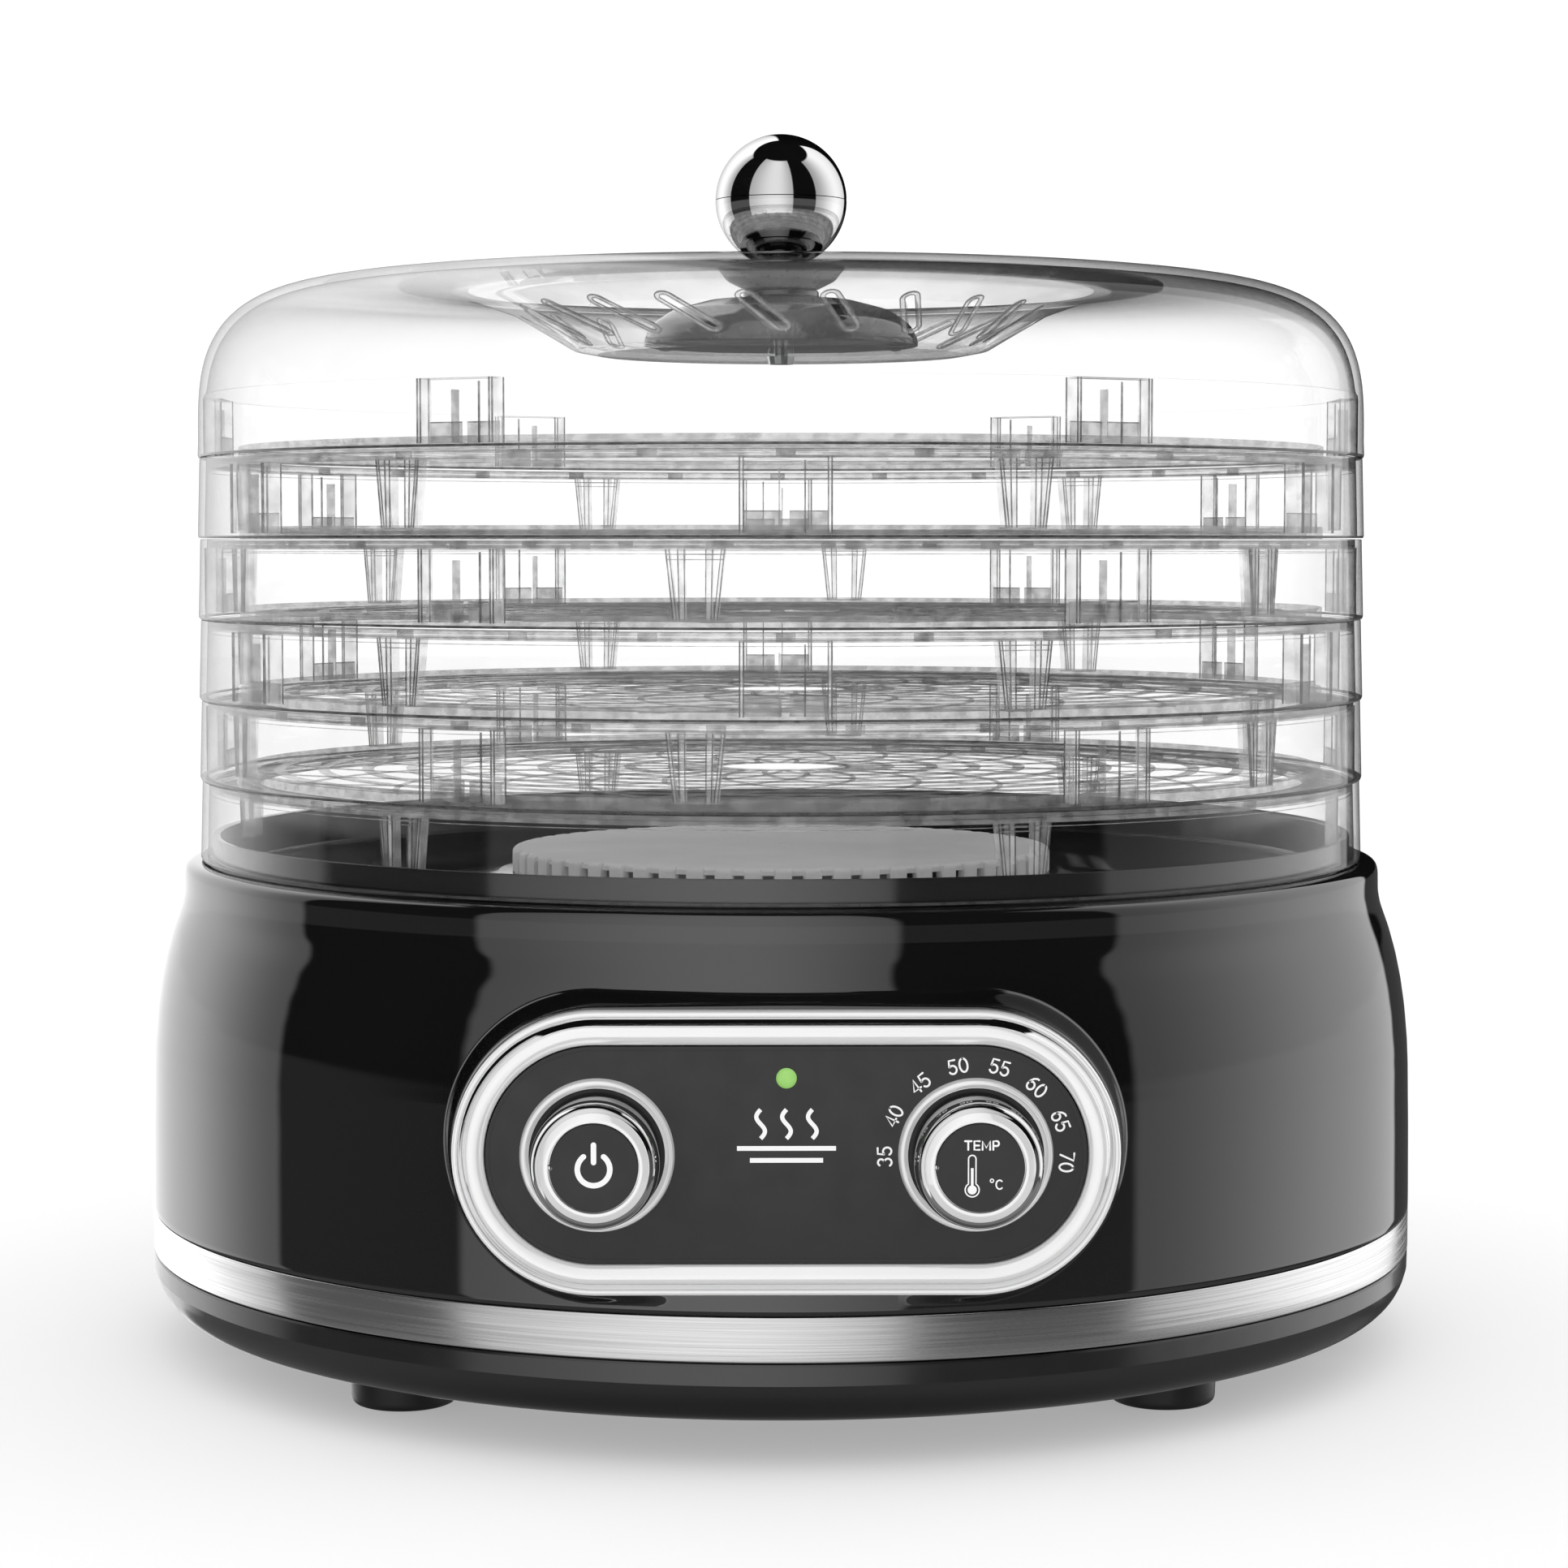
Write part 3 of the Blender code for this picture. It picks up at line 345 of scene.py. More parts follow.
def loop_faces(count, rows, closed=False):
    """Quads between the columns of a closed loop, each column a line of points that may itself be closed."""
    faces = []
    for i in range(count):
        a, b = i * rows, ((i + 1) % count) * rows
        for row in range(rows if closed else rows - 1):
            k = (row + 1) % rows
            faces.append((a + row, a + k, b + k, b + row))
    return faces


BOX_FACES = [(0, 3, 2, 1), (4, 5, 6, 7), (0, 1, 5, 4), (1, 2, 6, 5), (2, 3, 7, 6), (3, 0, 4, 7)]


class Batch:
    """Several closed solids gathered into one mesh."""

    def __init__(self):
        self.vertices, self.faces, self.kinds = [], [], []

    def add(self, vertices, faces, matrix=None, kind=0):
        first = len(self.vertices)
        if matrix is not None:
            vertices = [matrix @ Vector(v) for v in vertices]
        self.vertices += [tuple(v) for v in vertices]
        self.faces += [[first + v for v in face] for face in faces]
        self.kinds += [kind] * len(faces)

    def turned(self, profile, segments, kind=0, matrix=None, **span):
        self.add(*lathe_data(profile, segments, **span), matrix, kind)

    def box(self, low, high, matrix=None, kind=0):
        corners = [(x, y, z) for z in (low[2], high[2])
                   for x, y in ((low[0], low[1]), (high[0], low[1]), (high[0], high[1]), (low[0], high[1]))]
        self.add(corners, BOX_FACES, matrix, kind)

    def ribbon(self, centre_line, width, bottom, top, kind=0, cyclic=False, matrix=None):
        """A flat bar of even width that follows a line of (x, y) points."""
        line = [Vector(p) for p in centre_line]
        count = len(line)
        vertices = []
        for i, point in enumerate(line):
            before = line[i - 1] if (i or cyclic) else point
            after = line[(i + 1) % count] if (i < count - 1 or cyclic) else point
            along = (after - before).normalized()
            side = Vector((-along.y, along.x)) * width / 2
            for edge, z in ((side, bottom), (-side, bottom), (-side, top), (side, top)):
                vertices.append((point.x + edge.x, point.y + edge.y, z))
        faces = loop_faces(count, 4, closed=True)
        if not cyclic:
            faces = faces[:-4] + [(0, 3, 2, 1), tuple(4 * (count - 1) + k for k in range(4))]
        self.add(vertices, faces, matrix, kind)

    def mesh(self):
        mesh = mesh_from(self.vertices, self.faces)
        if any(self.kinds):
            mesh.polygons.foreach_set("material_index", self.kinds)
        return mesh


def stadium(length, height, offsets, straight_steps=16, arc_steps=48):
    """Points round a plate with two round ends: at each step one point per offset, which grows it outwards."""
    half, points = (length - height) / 2, []
    for side in (1, -1):
        steps = [(half * (2 * i / straight_steps - 1), math.pi / 2) for i in range(straight_steps)]
        steps += [(half, math.pi / 2 - math.pi * i / arc_steps) for i in range(arc_steps)]
        for x, angle in steps:
            for offset in offsets:
                reach = side * (height / 2 + offset)
                points.append((side * x + reach * math.cos(angle), reach * math.sin(angle)))
    return points


def stadium_sweep(length, height, profile, closed=True, **steps):
    """Vertices and faces of an outline of (offset, z) points carried round a stadium."""
    rows = len(profile)
    points = stadium(length, height, [offset for offset, z in profile], **steps)
    vertices = [(x, y, profile[n % rows][1]) for n, (x, y) in enumerate(points)]
    return vertices, loop_faces(len(points) // rows, rows, closed)


def stadium_plate(length, height, bottom, top, edge=0.0002):
    """A plate with two round ends and a softened front edge."""
    profile = [(0.0, bottom), (0.0, top - edge), (-edge * 0.3, top - edge * 0.3), (-edge, top)]
    vertices, faces = stadium_sweep(length, height, profile, closed=False)
    rows = len(profile)
    bottoms = list(range(0, len(vertices), rows))
    return vertices, faces + [bottoms, [i + rows - 1 for i in reversed(bottoms)]]


# Finishes

BLACK = gloss_black()
PLATED = {"grain": 200.0, "depth": 0.000002, "strength": 0.05, "wear": 0.03}
CHROME = metal("chrome", (0.94, 0.94, 0.95), 0.03, rim=0.5, **PLATED)
# Chrome with a white diffuse share, a painted reflection: it stands in for the white that real chrome mirrors, on the
# bezel's band and lip, the rings round the knobs and the knobs' crowns.
CHROME_GLARE = metal("chrome_painted_white_reflection", (0.97, 0.97, 0.97), 0.10, purity=0.40, **PLATED)
SATIN = metal("satin_metal", (0.62, 0.62, 0.62), 0.35, grain=500.0, wear=0.05, purity=0.45)
BAND = brushed_band()
CLEAR = clear_plastic()
# Dark outlines: painted shade along clear edges, pocket plates, posts and slot rims.
OUTLINE_SHADE = veiled_plastic("clear_plastic_painted_outline_shade", 0.12, 0.56, 300.0)
# Grey veil of the lattice and small panels: painted shade, the grey that clear plastic takes from bent light.
SHEET = veiled_plastic("clear_plastic_lattice", 0.36, 0.38, 260.0)
# Dark lines where one ring sits on the next: painted shadow in the gap.
GAP_SHADOW = veiled_plastic("clear_plastic_painted_gap_shadow", 0.07, 0.80, 300.0)
# The top tray's lattice: the same painted grey veil, lighter and thinner.
FAINT = veiled_plastic("clear_plastic_top_lattice", 0.60, 0.10, 260.0)
# Pale veil on upright ribs and slot rims: painted highlight.
PALE_VEIL = veiled_plastic("clear_plastic_ribs_painted_highlight", 0.90, 0.22, 200.0)
# White veil on the funnel's upper faces: painted sheen.
FUNNEL_SHEEN = veiled_plastic("clear_plastic_funnel_painted_sheen", 1.00, 0.17, 60.0)
DECK = moulded("deck_black", (0.010, 0.010, 0.011), 0.13, ior=1.8, strength=0.05)
PAN = moulded("satin_black", (0.010, 0.010, 0.011), 0.18, ior=1.9, strength=0.05)
RUBBER = moulded("rubber", (0.012, 0.012, 0.012), 0.45, grain=1500.0, depth=0.00003, strength=0.35)
FASCIA, FACE = (moulded(name, (0.0300, 0.0300, 0.0305), 0.55, grain=2500.0, depth=0.000004, strength=0.15,
                        mottling=0.03) for name in ("fascia_grey", "knob_face_grey"))
PRINT = moulded("white_print", (0.90, 0.90, 0.90), 0.55, grain=2500.0, depth=0.000003, strength=0.1, mottling=0.02)
DIFFUSER = moulded("diffuser_grey", (0.90, 0.90, 0.90), 0.6, grain=1300.0, depth=0.00012, strength=0.9, mottling=0.10)
LENS = lamp_lens()


# Base

BODY = [  # outer side of the housing, from its top lip down to the band
    (0.1592, 0.1300), (0.1592, 0.1326), (0.1622, 0.13262), (0.1637, 0.1321), (0.16455, 0.1313), (0.16495, 0.1302),
    (0.1651, 0.1289), (0.16515, 0.1262), (0.1652, 0.1245), (0.1654, 0.1230), (0.1658, 0.1209), (0.1664, 0.1190),
    (0.1671, 0.1170), (0.1682, 0.1139), (0.1692, 0.1104), (0.1701, 0.1071), (0.1708, 0.1038), (0.1715, 0.1004),
    (0.1720, 0.0971), (0.1725, 0.0938), (0.17285, 0.0905), (0.17315, 0.0871), (0.17345, 0.0838), (0.1736, 0.0805),
    (0.17375, 0.0770), (0.1739, 0.0680), (0.17405, 0.0600), (0.17415, 0.0480), (0.1742, 0.0420), (0.1742, 0.0386),
    (0.17405, 0.0383),
]


def body_radius(z):
    """The housing's outer radius at a height, below its top lip."""
    radii, heights = zip(*BODY[:1:-1])
    return float(np.interp(z, heights, radii))


def smooth_profile(points, per_span=3):
    """Catmull-Rom points through an outline, for the parts of it that are one curve."""
    line = [Vector(p) for p in points]
    line = [2 * line[0] - line[1]] + line + [2 * line[-1] - line[-2]]
    result = []
    for i in range(1, len(line) - 2):
        a, b, c, d = line[i - 1:i + 3]
        for k in range(per_span):
            t = k / per_span
            point = 0.5 * (2 * b + (c - a) * t + (2 * a - 5 * b + 4 * c - d) * t ** 2
                           + (3 * b - a - 3 * c + d) * t ** 3)
            result.append((point.x, point.y))
    result.append((line[-2].x, line[-2].y))
    return result


BOSS_FRONT = 0.1722
BOSS_LENGTH = PANEL_LENGTH + 2 * BEZEL_WIDTH
BOSS_HEIGHT = PANEL_HEIGHT + 2 * BEZEL_WIDTH
LAND = 0.0034               # black land that shows round the bezel
SKIRT = [  # steps outwards from the boss's edge, over which it blends into the housing's side
    -0.0060, -0.0002, 0.0, 0.0003, 0.0007, 0.0011, 0.0015, 0.0019, 0.0023, 0.0027, 0.0031, LAND, 0.0040, 0.0048,
]


def in_boss(point):
    """Whether a point of the housing's side lies under the panel's boss."""
    x, y, z = point
    reach = max(0.0, abs(x) - (BOSS_LENGTH - BOSS_HEIGHT) / 2)
    return y <= -0.05 and math.hypot(reach, z - PANEL_Z) < BOSS_HEIGHT / 2 + 0.0004


def skirt_depth(x, z, offset):
    """How far back the surface lies at an offset from the boss's edge."""
    side = -math.sqrt(max(1e-9, body_radius(z) ** 2 - x ** 2))
    if offset < 0:
        return -BOSS_FRONT + (0.004 if offset < -0.001 else 0.0)
    t = min(1.0, max(0.0, (offset - 0.0002) / LAND))
    depth = side + (-BOSS_FRONT - side) * (1 - t * t * (3 - 2 * t))
    return depth + (0.0002 * (offset - LAND) / 0.0014 if offset > LAND else 0.0)


def housing():
    outer = BODY[:2] + smooth_profile(BODY[2:-1], 2) + BODY[-1:]
    inner = [(0.1712, 0.0383), (0.1712, 0.0240), (0.1688, 0.0240), (0.1688, 0.0500), (0.1702, 0.0860),
             (0.1640, 0.1160), (0.1622, 0.1280)]
    vertices, faces = lathe_data(outer + inner, SHELL_SIDES)
    batch = Batch()
    batch.add(vertices, [face for face in faces if not all(in_boss(vertices[v]) for v in face)])
    rows = len(SKIRT)
    points = [(x, PANEL_Z + y) for x, y in stadium(BOSS_LENGTH, BOSS_HEIGHT, SKIRT, 40, 72)]
    skirt = [(x, skirt_depth(x, z, SKIRT[n % rows]), z) for n, (x, z) in enumerate(points)]
    batch.add(skirt, loop_faces(len(points) // rows, rows))
    finish_mesh("housing_shell", batch.mesh(), BLACK, "base", ["base_housing"], AXIS, sharp=50.0)


def chrome_band():
    corners = [(0.1716, 0.0380), (0.1742, 0.0380, 0.0004), (0.1742, 0.0271, 0.0004), (0.1716, 0.0271)]
    lathe("brushed_band", rounded(corners, 0.0002), BAND, "base", ["chrome_band"],
          segments=SHELL_SIDES)


def bottom_pan():
    """Underside, with an intake grille of eight spokes, and two posts inside that carry the works."""
    low, top, sector = 0.0108, 0.0133, 45
    rim = [(0.1741, 0.0262), (0.1740, 0.0216)]
    rim += smooth_profile([(0.17395, 0.0214), (0.1730, 0.0184), (0.1712, 0.0153), (0.1682, 0.0126), (0.1645, 0.0113),
                           (0.1600, low)], 4)
    profile = ([(0.1716, 0.0267), (0.1738, 0.0267)] + rim
               + [(0.0850, low), (0.0850, top), (0.1600, top), (0.1660, top + 0.0022), (0.1714, 0.0225)])
    batch = Batch()
    batch.turned(profile, SHELL_SIDES)
    batch.turned(rounded([(0.0, top), (0.0500, top), (0.0500, low), (0.0, low)], 0.0004), 96, closed=False)
    spoke = block(0.0495, 0.0855, low + 0.0002, top - 0.0002)
    for start in range(0, 360, sector):
        batch.turned(spoke, 8, start=start + 37, sweep=16.0)
    for radius in (0.0568, 0.0637, 0.0706, 0.0775):
        ring = block(radius - 0.00045, radius + 0.00045, low + 0.0004, top - 0.0005)
        for start in range(0, 360, sector):
            batch.turned(ring, 14, start=start + 7.5, sweep=30.0)
    pillar = rounded([(0.0, 0.0490), (0.0038, 0.0490), (0.0040, top - 0.0008), (0.0, top - 0.0008)], 0.0003)
    for x in (-0.0760, 0.0760):
        batch.turned(pillar, 32, matrix=move(x), closed=False)
    finish_mesh("bottom_pan", batch.mesh(), PAN, "base", ["bottom_cover"], AXIS, sharp=12.0)


def feet():
    """Rubber feet with a hollow underside."""
    profile = rounded([(0.0, 0.0105), (0.0138, 0.0105), (0.0134, 0.0, 0.0022), (0.0080, 0.0, 0.0003),
                       (0.0076, 0.0012, 0.0003), (0.0, 0.0012)], 0.0002, 5)
    for number, spin in enumerate((225, 315, 45, 135), 1):
        place = AXIS @ turn(spin) @ move(0.1370)
        lathe(f"rubber_foot_{number}", profile, RUBBER, "base", [f"foot_{number}"], place, 64,
              closed=False)


def deck():
    """Dished moulding under the lowest tray, with the collar that locates the tray."""
    top = [(0.15510, 0.1391, 0.0004), (0.1573, 0.1395, 0.0004), (0.1573, 0.1330, 0.0)]
    under = [(0.1587, 0.1322), (0.1587, 0.1262), (0.1120, 0.1190), (0.0800, 0.1251), (0.0640, 0.1251)]
    dish = [(0.0640, 0.1277), (0.0790, 0.1277, 0.001), (0.0900, 0.1246, 0.004), (0.1085, 0.12165, 0.004),
            (0.1150, 0.1217, 0.004), (0.1225, 0.1236, 0.003), (0.1300, 0.1246, 0.003), (0.1480, 0.1268, 0.006),
            (0.1545, 0.1283, 0.0015)]
    profile = rounded(top + [(x, z, 0.0) for x, z in under] + dish, 0.0003, 6)
    lathe("deck_dish", profile, DECK, "base", ["top_deck"], segments=256)


def diffuser():
    """Cap over the warm air outlet, with teeth all round its skirt."""
    top, bottom, radius = 0.1345, 0.1280, 0.0750
    batch = Batch()
    crown = [(0.0, top - 0.0003), (0.0016, top - 0.0003), (0.0019, top), (0.0722, top), (0.0731, top - 0.0002),
             (0.0737, top - 0.0008), (0.0738, top - 0.0020), (0.0722, top - 0.0022), (0.0, top - 0.0022)]
    batch.turned(crown, 240, closed=False)
    lower = [(0.0735, bottom + 0.0012), (0.0736, bottom), (0.0718, bottom), (0.0718, bottom + 0.0012)]
    batch.turned(lower, 240)
    angles = [math.pi / 2 * k / 6 for k in range(7)]
    profile = [(radius - 0.0016 + 0.0016 * math.sin(a), top - 0.0014 + 0.0014 * math.cos(a)) for a in angles]
    profile += [(radius, bottom), (0.0722, bottom), (0.0722, top)]
    half, soft = 0.00195, 0.0004
    side = [(x, half, z) for x, z in profile]
    eased = [(x - soft if x > 0.073 else x, half + soft, z - 0.0002 if z > bottom else z) for x, z in profile]
    left = [[(x, -y, z) for x, y, z in ring] for ring in (eased, side)]
    tooth = [v for ring in (*left, side, eased) for v in ring]
    count = len(profile)
    faces = [tuple(range(count)), tuple(range(4 * count - 1, 3 * count - 1, -1))]
    faces += loop_faces(4, count, closed=True)[:3 * count]
    for degrees in range(0, 360, 6):
        batch.add(tooth, faces, turn(degrees))
    finish_mesh("outlet_cap", batch.mesh(), DIFFUSER, "base", ["air_diffuser"], AXIS, sharp=40.0)


# Control panel

def bezel():
    """A broad inner band and a thin outer lip in a half-white copy of the chrome, whose brightness is a painted
    reflection, with a mirrored groove between them that looks dark.
    """
    back = -0.0060
    band = [(0.0003, back), (0.0003, -0.0014), (0.0006, -0.0008), (0.0014, -0.0003), (0.0028, 0.0), (0.0040, -0.0001),
            (0.0047, -0.0005), (0.0049, -0.0010), (0.0049, back)]
    groove = [(0.0049, back), (0.0049, -0.0009), (0.0054, -0.0016), (0.0060, -0.0023), (0.0067, -0.0028),
              (0.0067, back)]
    lip = [(0.0067, back), (0.0067, -0.0026), (0.0069, -0.0023), (0.0074, -0.0023), (0.0078, -0.0026),
           (BEZEL_WIDTH, -0.0032), (BEZEL_WIDTH, back)]
    batch = Batch()
    for outline, kind in ((band, 1), (groove, 0), (lip, 1)):
        outline = outline[:1] + smooth_profile(outline[1:-1], 3) + outline[-1:]
        batch.add(*stadium_sweep(PANEL_LENGTH, PANEL_HEIGHT, outline), kind=kind)
    finish_mesh("chrome_bezel", batch.mesh(), [CHROME, CHROME_GLARE], "base", ["panel_bezel"], PANEL,
                sharp=50.0)


def fascia():
    back = -0.0060
    batch = Batch()
    batch.add(*stadium_plate(PANEL_LENGTH, PANEL_HEIGHT, back, FASCIA_FRONT))
    batch.add(*stadium_sweep(PANEL_LENGTH - 0.0016, PANEL_HEIGHT - 0.0016,
                             [(-0.00025, FASCIA_FRONT - 0.0002), (-0.00015, FASCIA_FRONT + 0.00006),
                              (0.00015, FASCIA_FRONT + 0.00006), (0.00025, FASCIA_FRONT - 0.0002)]))
    finish_mesh("fascia_panel", batch.mesh(), FASCIA, "base", ["panel_fascia"], PANEL, sharp=40.0)


def panel_place(x, y=0.0, z=0.0):
    return PANEL @ move(x, y, z)


def escutcheons():
    base = FASCIA_FRONT - 0.0002
    profile = [(0.0158, base), (0.0158, 0.0002, 0.0002), (0.0164, 0.0006, 0.0004), (0.0169, 0.0009, 0.0004),
               (0.0176, 0.0006, 0.0005), (0.0181, base)]
    # The rings are all in the half-white chrome: painted reflection.
    for name, side in (("power", -1), ("temp", 1)):
        lathe(f"{name}_ring", rounded(profile, 0.0001, 4), CHROME_GLARE, "base", [f"{name}_escutcheon"],
              panel_place(side * KNOB_OFFSET), 128)


def knob(prefix, body, side, node, face_node):
    reach = KNOB_REACH
    place = panel_place(side * KNOB_OFFSET)
    profile = [(0.0, reach - 0.0016), (0.0125, reach - 0.0016), (0.0125, reach - 0.0010), (0.0129, reach - 0.0012)]
    for k in range(1, 13):
        t = math.pi / 2 * k / 12
        profile.append((0.0129 + 0.0020 * math.sin(t) ** 0.9, reach - 0.0062 + 0.0050 * math.cos(t) ** 0.9))
    profile += [(0.0148, FASCIA_FRONT), (0.0033, FASCIA_FRONT), (0.0033, 0.0083), (0.0, 0.0083)]
    crown = rounded([(0.0104, reach - 0.0015), (0.0104, reach, 0.0002), (0.0112, reach, 0.001),
                     (0.0127, reach - 0.0008, 0.0003), (0.0127, reach - 0.0015)], 0.0, 5)
    batch = Batch()
    batch.turned(profile, 128, closed=False)
    # The crown takes the half-white chrome: painted reflection.
    batch.turned(crown, 128, 1)
    bead = [(0.0, 0.0003), (0.00035, 0.00024), (0.0006, 0.0), (0.0006, -0.0010), (0.0, -0.0010)]
    batch.turned(bead, 24, matrix=move(-0.0100, 0.0, reach - 0.00035), closed=False)
    finish_mesh(f"{prefix}_knob_shell", batch.mesh(), [CHROME, CHROME_GLARE], body, [node], place, 40.0)
    face = [(0.0, reach - GAP), (0.0100, reach - GAP), (0.01015, reach - GAP - 0.0002), (0.01015, reach - 0.0012),
            (0.0, reach - 0.0012)]
    lathe(f"{prefix}_knob_face", face, FACE, body, [face_node], place, 96, closed=False)


def led():
    profile = [(0.0, FASCIA_FRONT + 0.0009), (0.0009, FASCIA_FRONT + 0.00082), (0.0017, FASCIA_FRONT + 0.0006),
               (0.0023, FASCIA_FRONT + 0.0002), (0.0025, FASCIA_FRONT - 0.0002), (0.0025, -0.0057), (0.0, -0.0057)]
    lathe("indicator_lens", profile, LENS, "base", ["led_lens"], panel_place(0.0, 0.0180), 48,
          closed=False)


# Printed marks, drawn as strokes on a unit-high letter

PRINT_THICK = 0.00006
PRINT_LIFT = 0.00002


def arc(cx, cy, rx, ry, start, end, steps=20):
    return [(cx + rx * math.cos(math.radians(start + (end - start) * i / steps)),
             cy + ry * math.sin(math.radians(start + (end - start) * i / steps))) for i in range(steps + 1)]


GLYPHS = {
    "0": [arc(0.30, 0.50, 0.27, 0.47, 90, 450, 40)],
    "3": [arc(0.28, 0.745, 0.225, 0.22, 150, -90, 20) + arc(0.28, 0.28, 0.255, 0.25, 90, -150, 24)],
    "4": [[(0.44, 0.03), (0.44, 0.97), (0.02, 0.27), (0.60, 0.27)]],
    "5": [[(0.52, 0.97), (0.12, 0.97), (0.075, 0.52)] + arc(0.285, 0.32, 0.265, 0.285, 138, -150, 26)],
    "6": [arc(0.30, 0.32, 0.25, 0.285, 150, 510, 36), [(0.055, 0.38), (0.085, 0.60), (0.19, 0.82), (0.36, 0.96),
                                                      (0.48, 0.97)]],
    "7": [[(0.05, 0.97), (0.56, 0.97), (0.22, 0.03)]],
    "T": [[(0.02, 0.95), (0.70, 0.95)], [(0.36, 0.92), (0.36, 0.05)]],
    "E": [[(0.62, 0.95), (0.07, 0.95), (0.07, 0.05), (0.62, 0.05)], [(0.10, 0.50), (0.56, 0.50)]],
    "M": [[(0.06, 0.05), (0.06, 0.95), (0.45, 0.25), (0.84, 0.95), (0.84, 0.05)]],
    "P": [[(0.07, 0.05), (0.07, 0.95), (0.45, 0.95)] + arc(0.45, 0.70, 0.20, 0.25, 90, -90, 12) + [(0.10, 0.45)]],
    "C": [arc(0.42, 0.50, 0.36, 0.46, 48, 312, 26)],
}
WIDTHS = {"T": 0.72, "E": 0.66, "M": 0.90, "P": 0.68, "C": 0.80}


def dot(batch, radius, steps, matrix, top=0.000061):
    batch.turned(block(0.0, radius, 0.0, top), steps, matrix=matrix, closed=False)


def write(batch, text, height, stroke, matrix, gap=0.16):
    """Adds a line of glyphs, centred on the matrix's origin."""
    widths = [WIDTHS.get(letter, 0.60) for letter in text]
    total = sum(widths) + gap * (len(text) - 1)
    left = -total / 2
    for letter, width in zip(text, widths):
        for line in GLYPHS[letter]:
            points = [((left + x) * height, (y - 0.5) * height) for x, y in line]
            batch.ribbon(points, stroke, 0.0, PRINT_THICK, matrix=matrix)
            for end in (points[0], points[-1]):
                dot(batch, stroke / 2, 12, matrix @ move(*end))
        left += width + gap


def print_on(name, batch, body, place):
    finish_mesh(name, batch.mesh(), PRINT, body, (), place, 40.0)


def dial_numbers():
    batch, radius = Batch(), 0.0212
    for i, label in enumerate(("35", "40", "45", "50", "55", "60", "65", "70")):
        angle = math.radians(181.0 - 26.5 * i)
        spot = (KNOB_OFFSET + radius * math.cos(angle), radius * math.sin(angle), FASCIA_FRONT + PRINT_LIFT)
        write(batch, label, 0.0034, 0.00046, move(*spot) @ Matrix.Rotation(angle - math.pi / 2, 4, "Z"))
    print_on("dial_numbers", batch, "base", PANEL)


def air_mark():
    """A generic sign for rising warm air, over a tray."""
    batch = Batch()
    for x in (-0.0060, 0.0, 0.0060):
        points = [(x + 0.0010 * math.sin(2 * math.pi * k / 24), 0.0009 + 0.0068 * k / 24) for k in range(25)]
        batch.ribbon(points, 0.0010, 0.0, PRINT_THICK)
    for half, y in ((0.0115, -0.0014), (0.0085, -0.0042)):
        batch.ribbon([(-half, y), (half, y)], 0.0011, 0.0, PRINT_THICK)
    print_on("warm_air_mark", batch, "base", panel_place(0.0, 0.0030, FASCIA_FRONT + PRINT_LIFT))


def face_marks():
    """The power sign on one knob's face, and TEMP, a degree sign and a thermometer on the other's."""
    top = KNOB_REACH - GAP + PRINT_LIFT
    power, stroke = Batch(), 0.00125
    line = [(0.0, 0.0014), (0.0, 0.0054)]
    ring = arc(0.0, -0.0002, 0.0037, 0.0037, 128, 412, 48)
    for points in (line, ring):
        power.ribbon(points, stroke, 0.0, PRINT_THICK)
    for x, y in (*line, ring[0], ring[-1]):
        dot(power, stroke / 2, 16, move(x, y))
    print_on("power_mark", power, "button", panel_place(-KNOB_OFFSET, 0.0, top))
    temp, left, bulb = Batch(), -0.0019, -0.0050
    write(temp, "TEMP", 0.0022, 0.00042, move(0.0003, 0.0052), 0.20)
    write(temp, "C", 0.0022, 0.00034, move(0.0043, -0.0038))
    temp.ribbon(arc(0.0026, -0.0029, 0.00038, 0.00038, 0, 342, 16), 0.00026, 0.0, PRINT_THICK, cyclic=True)
    outline = [(-0.00085, -0.0036), (-0.00085, 0.0021)] + arc(0.0, 0.0021, 0.00085, 0.00085, 180, 0, 10)
    outline += [(0.00085, -0.0036)] + arc(0.0, bulb, 0.00160, 0.00160, 58, -238, 26)
    temp.ribbon([(x + left, y) for x, y in outline], 0.00030, 0.0, PRINT_THICK, cyclic=True)
    temp.ribbon([(left, -0.0046), (left, 0.0000)], 0.00062, 0.0, 0.00005)
    dot(temp, 0.00105, 24, move(left, bulb), PRINT_THICK)
    print_on("temperature_mark", temp, "dial", panel_place(KNOB_OFFSET, 0.0, top))


# Trays

TRAY_TOP = TRAY_PITCH - GAP
WALL = 0.0018
CLEARS = [CLEAR, OUTLINE_SHADE, SHEET, PALE_VEIL, GAP_SHADOW]
SHADE_OUTLINES, SHEETS, PALE_VEILED, GAP_SHADOWS = 1, 2, 3, 4      # dark outlines of painted shade, small grey panels of painted shade, upright ribs in a pale veil of painted highlight, dark lines of painted shadow where rings meet
FLOORS = 5                  # a tray's openwork floor, whose finish comes after CLEARS
SPIRALS = 20                # bars of the floor that lean each way


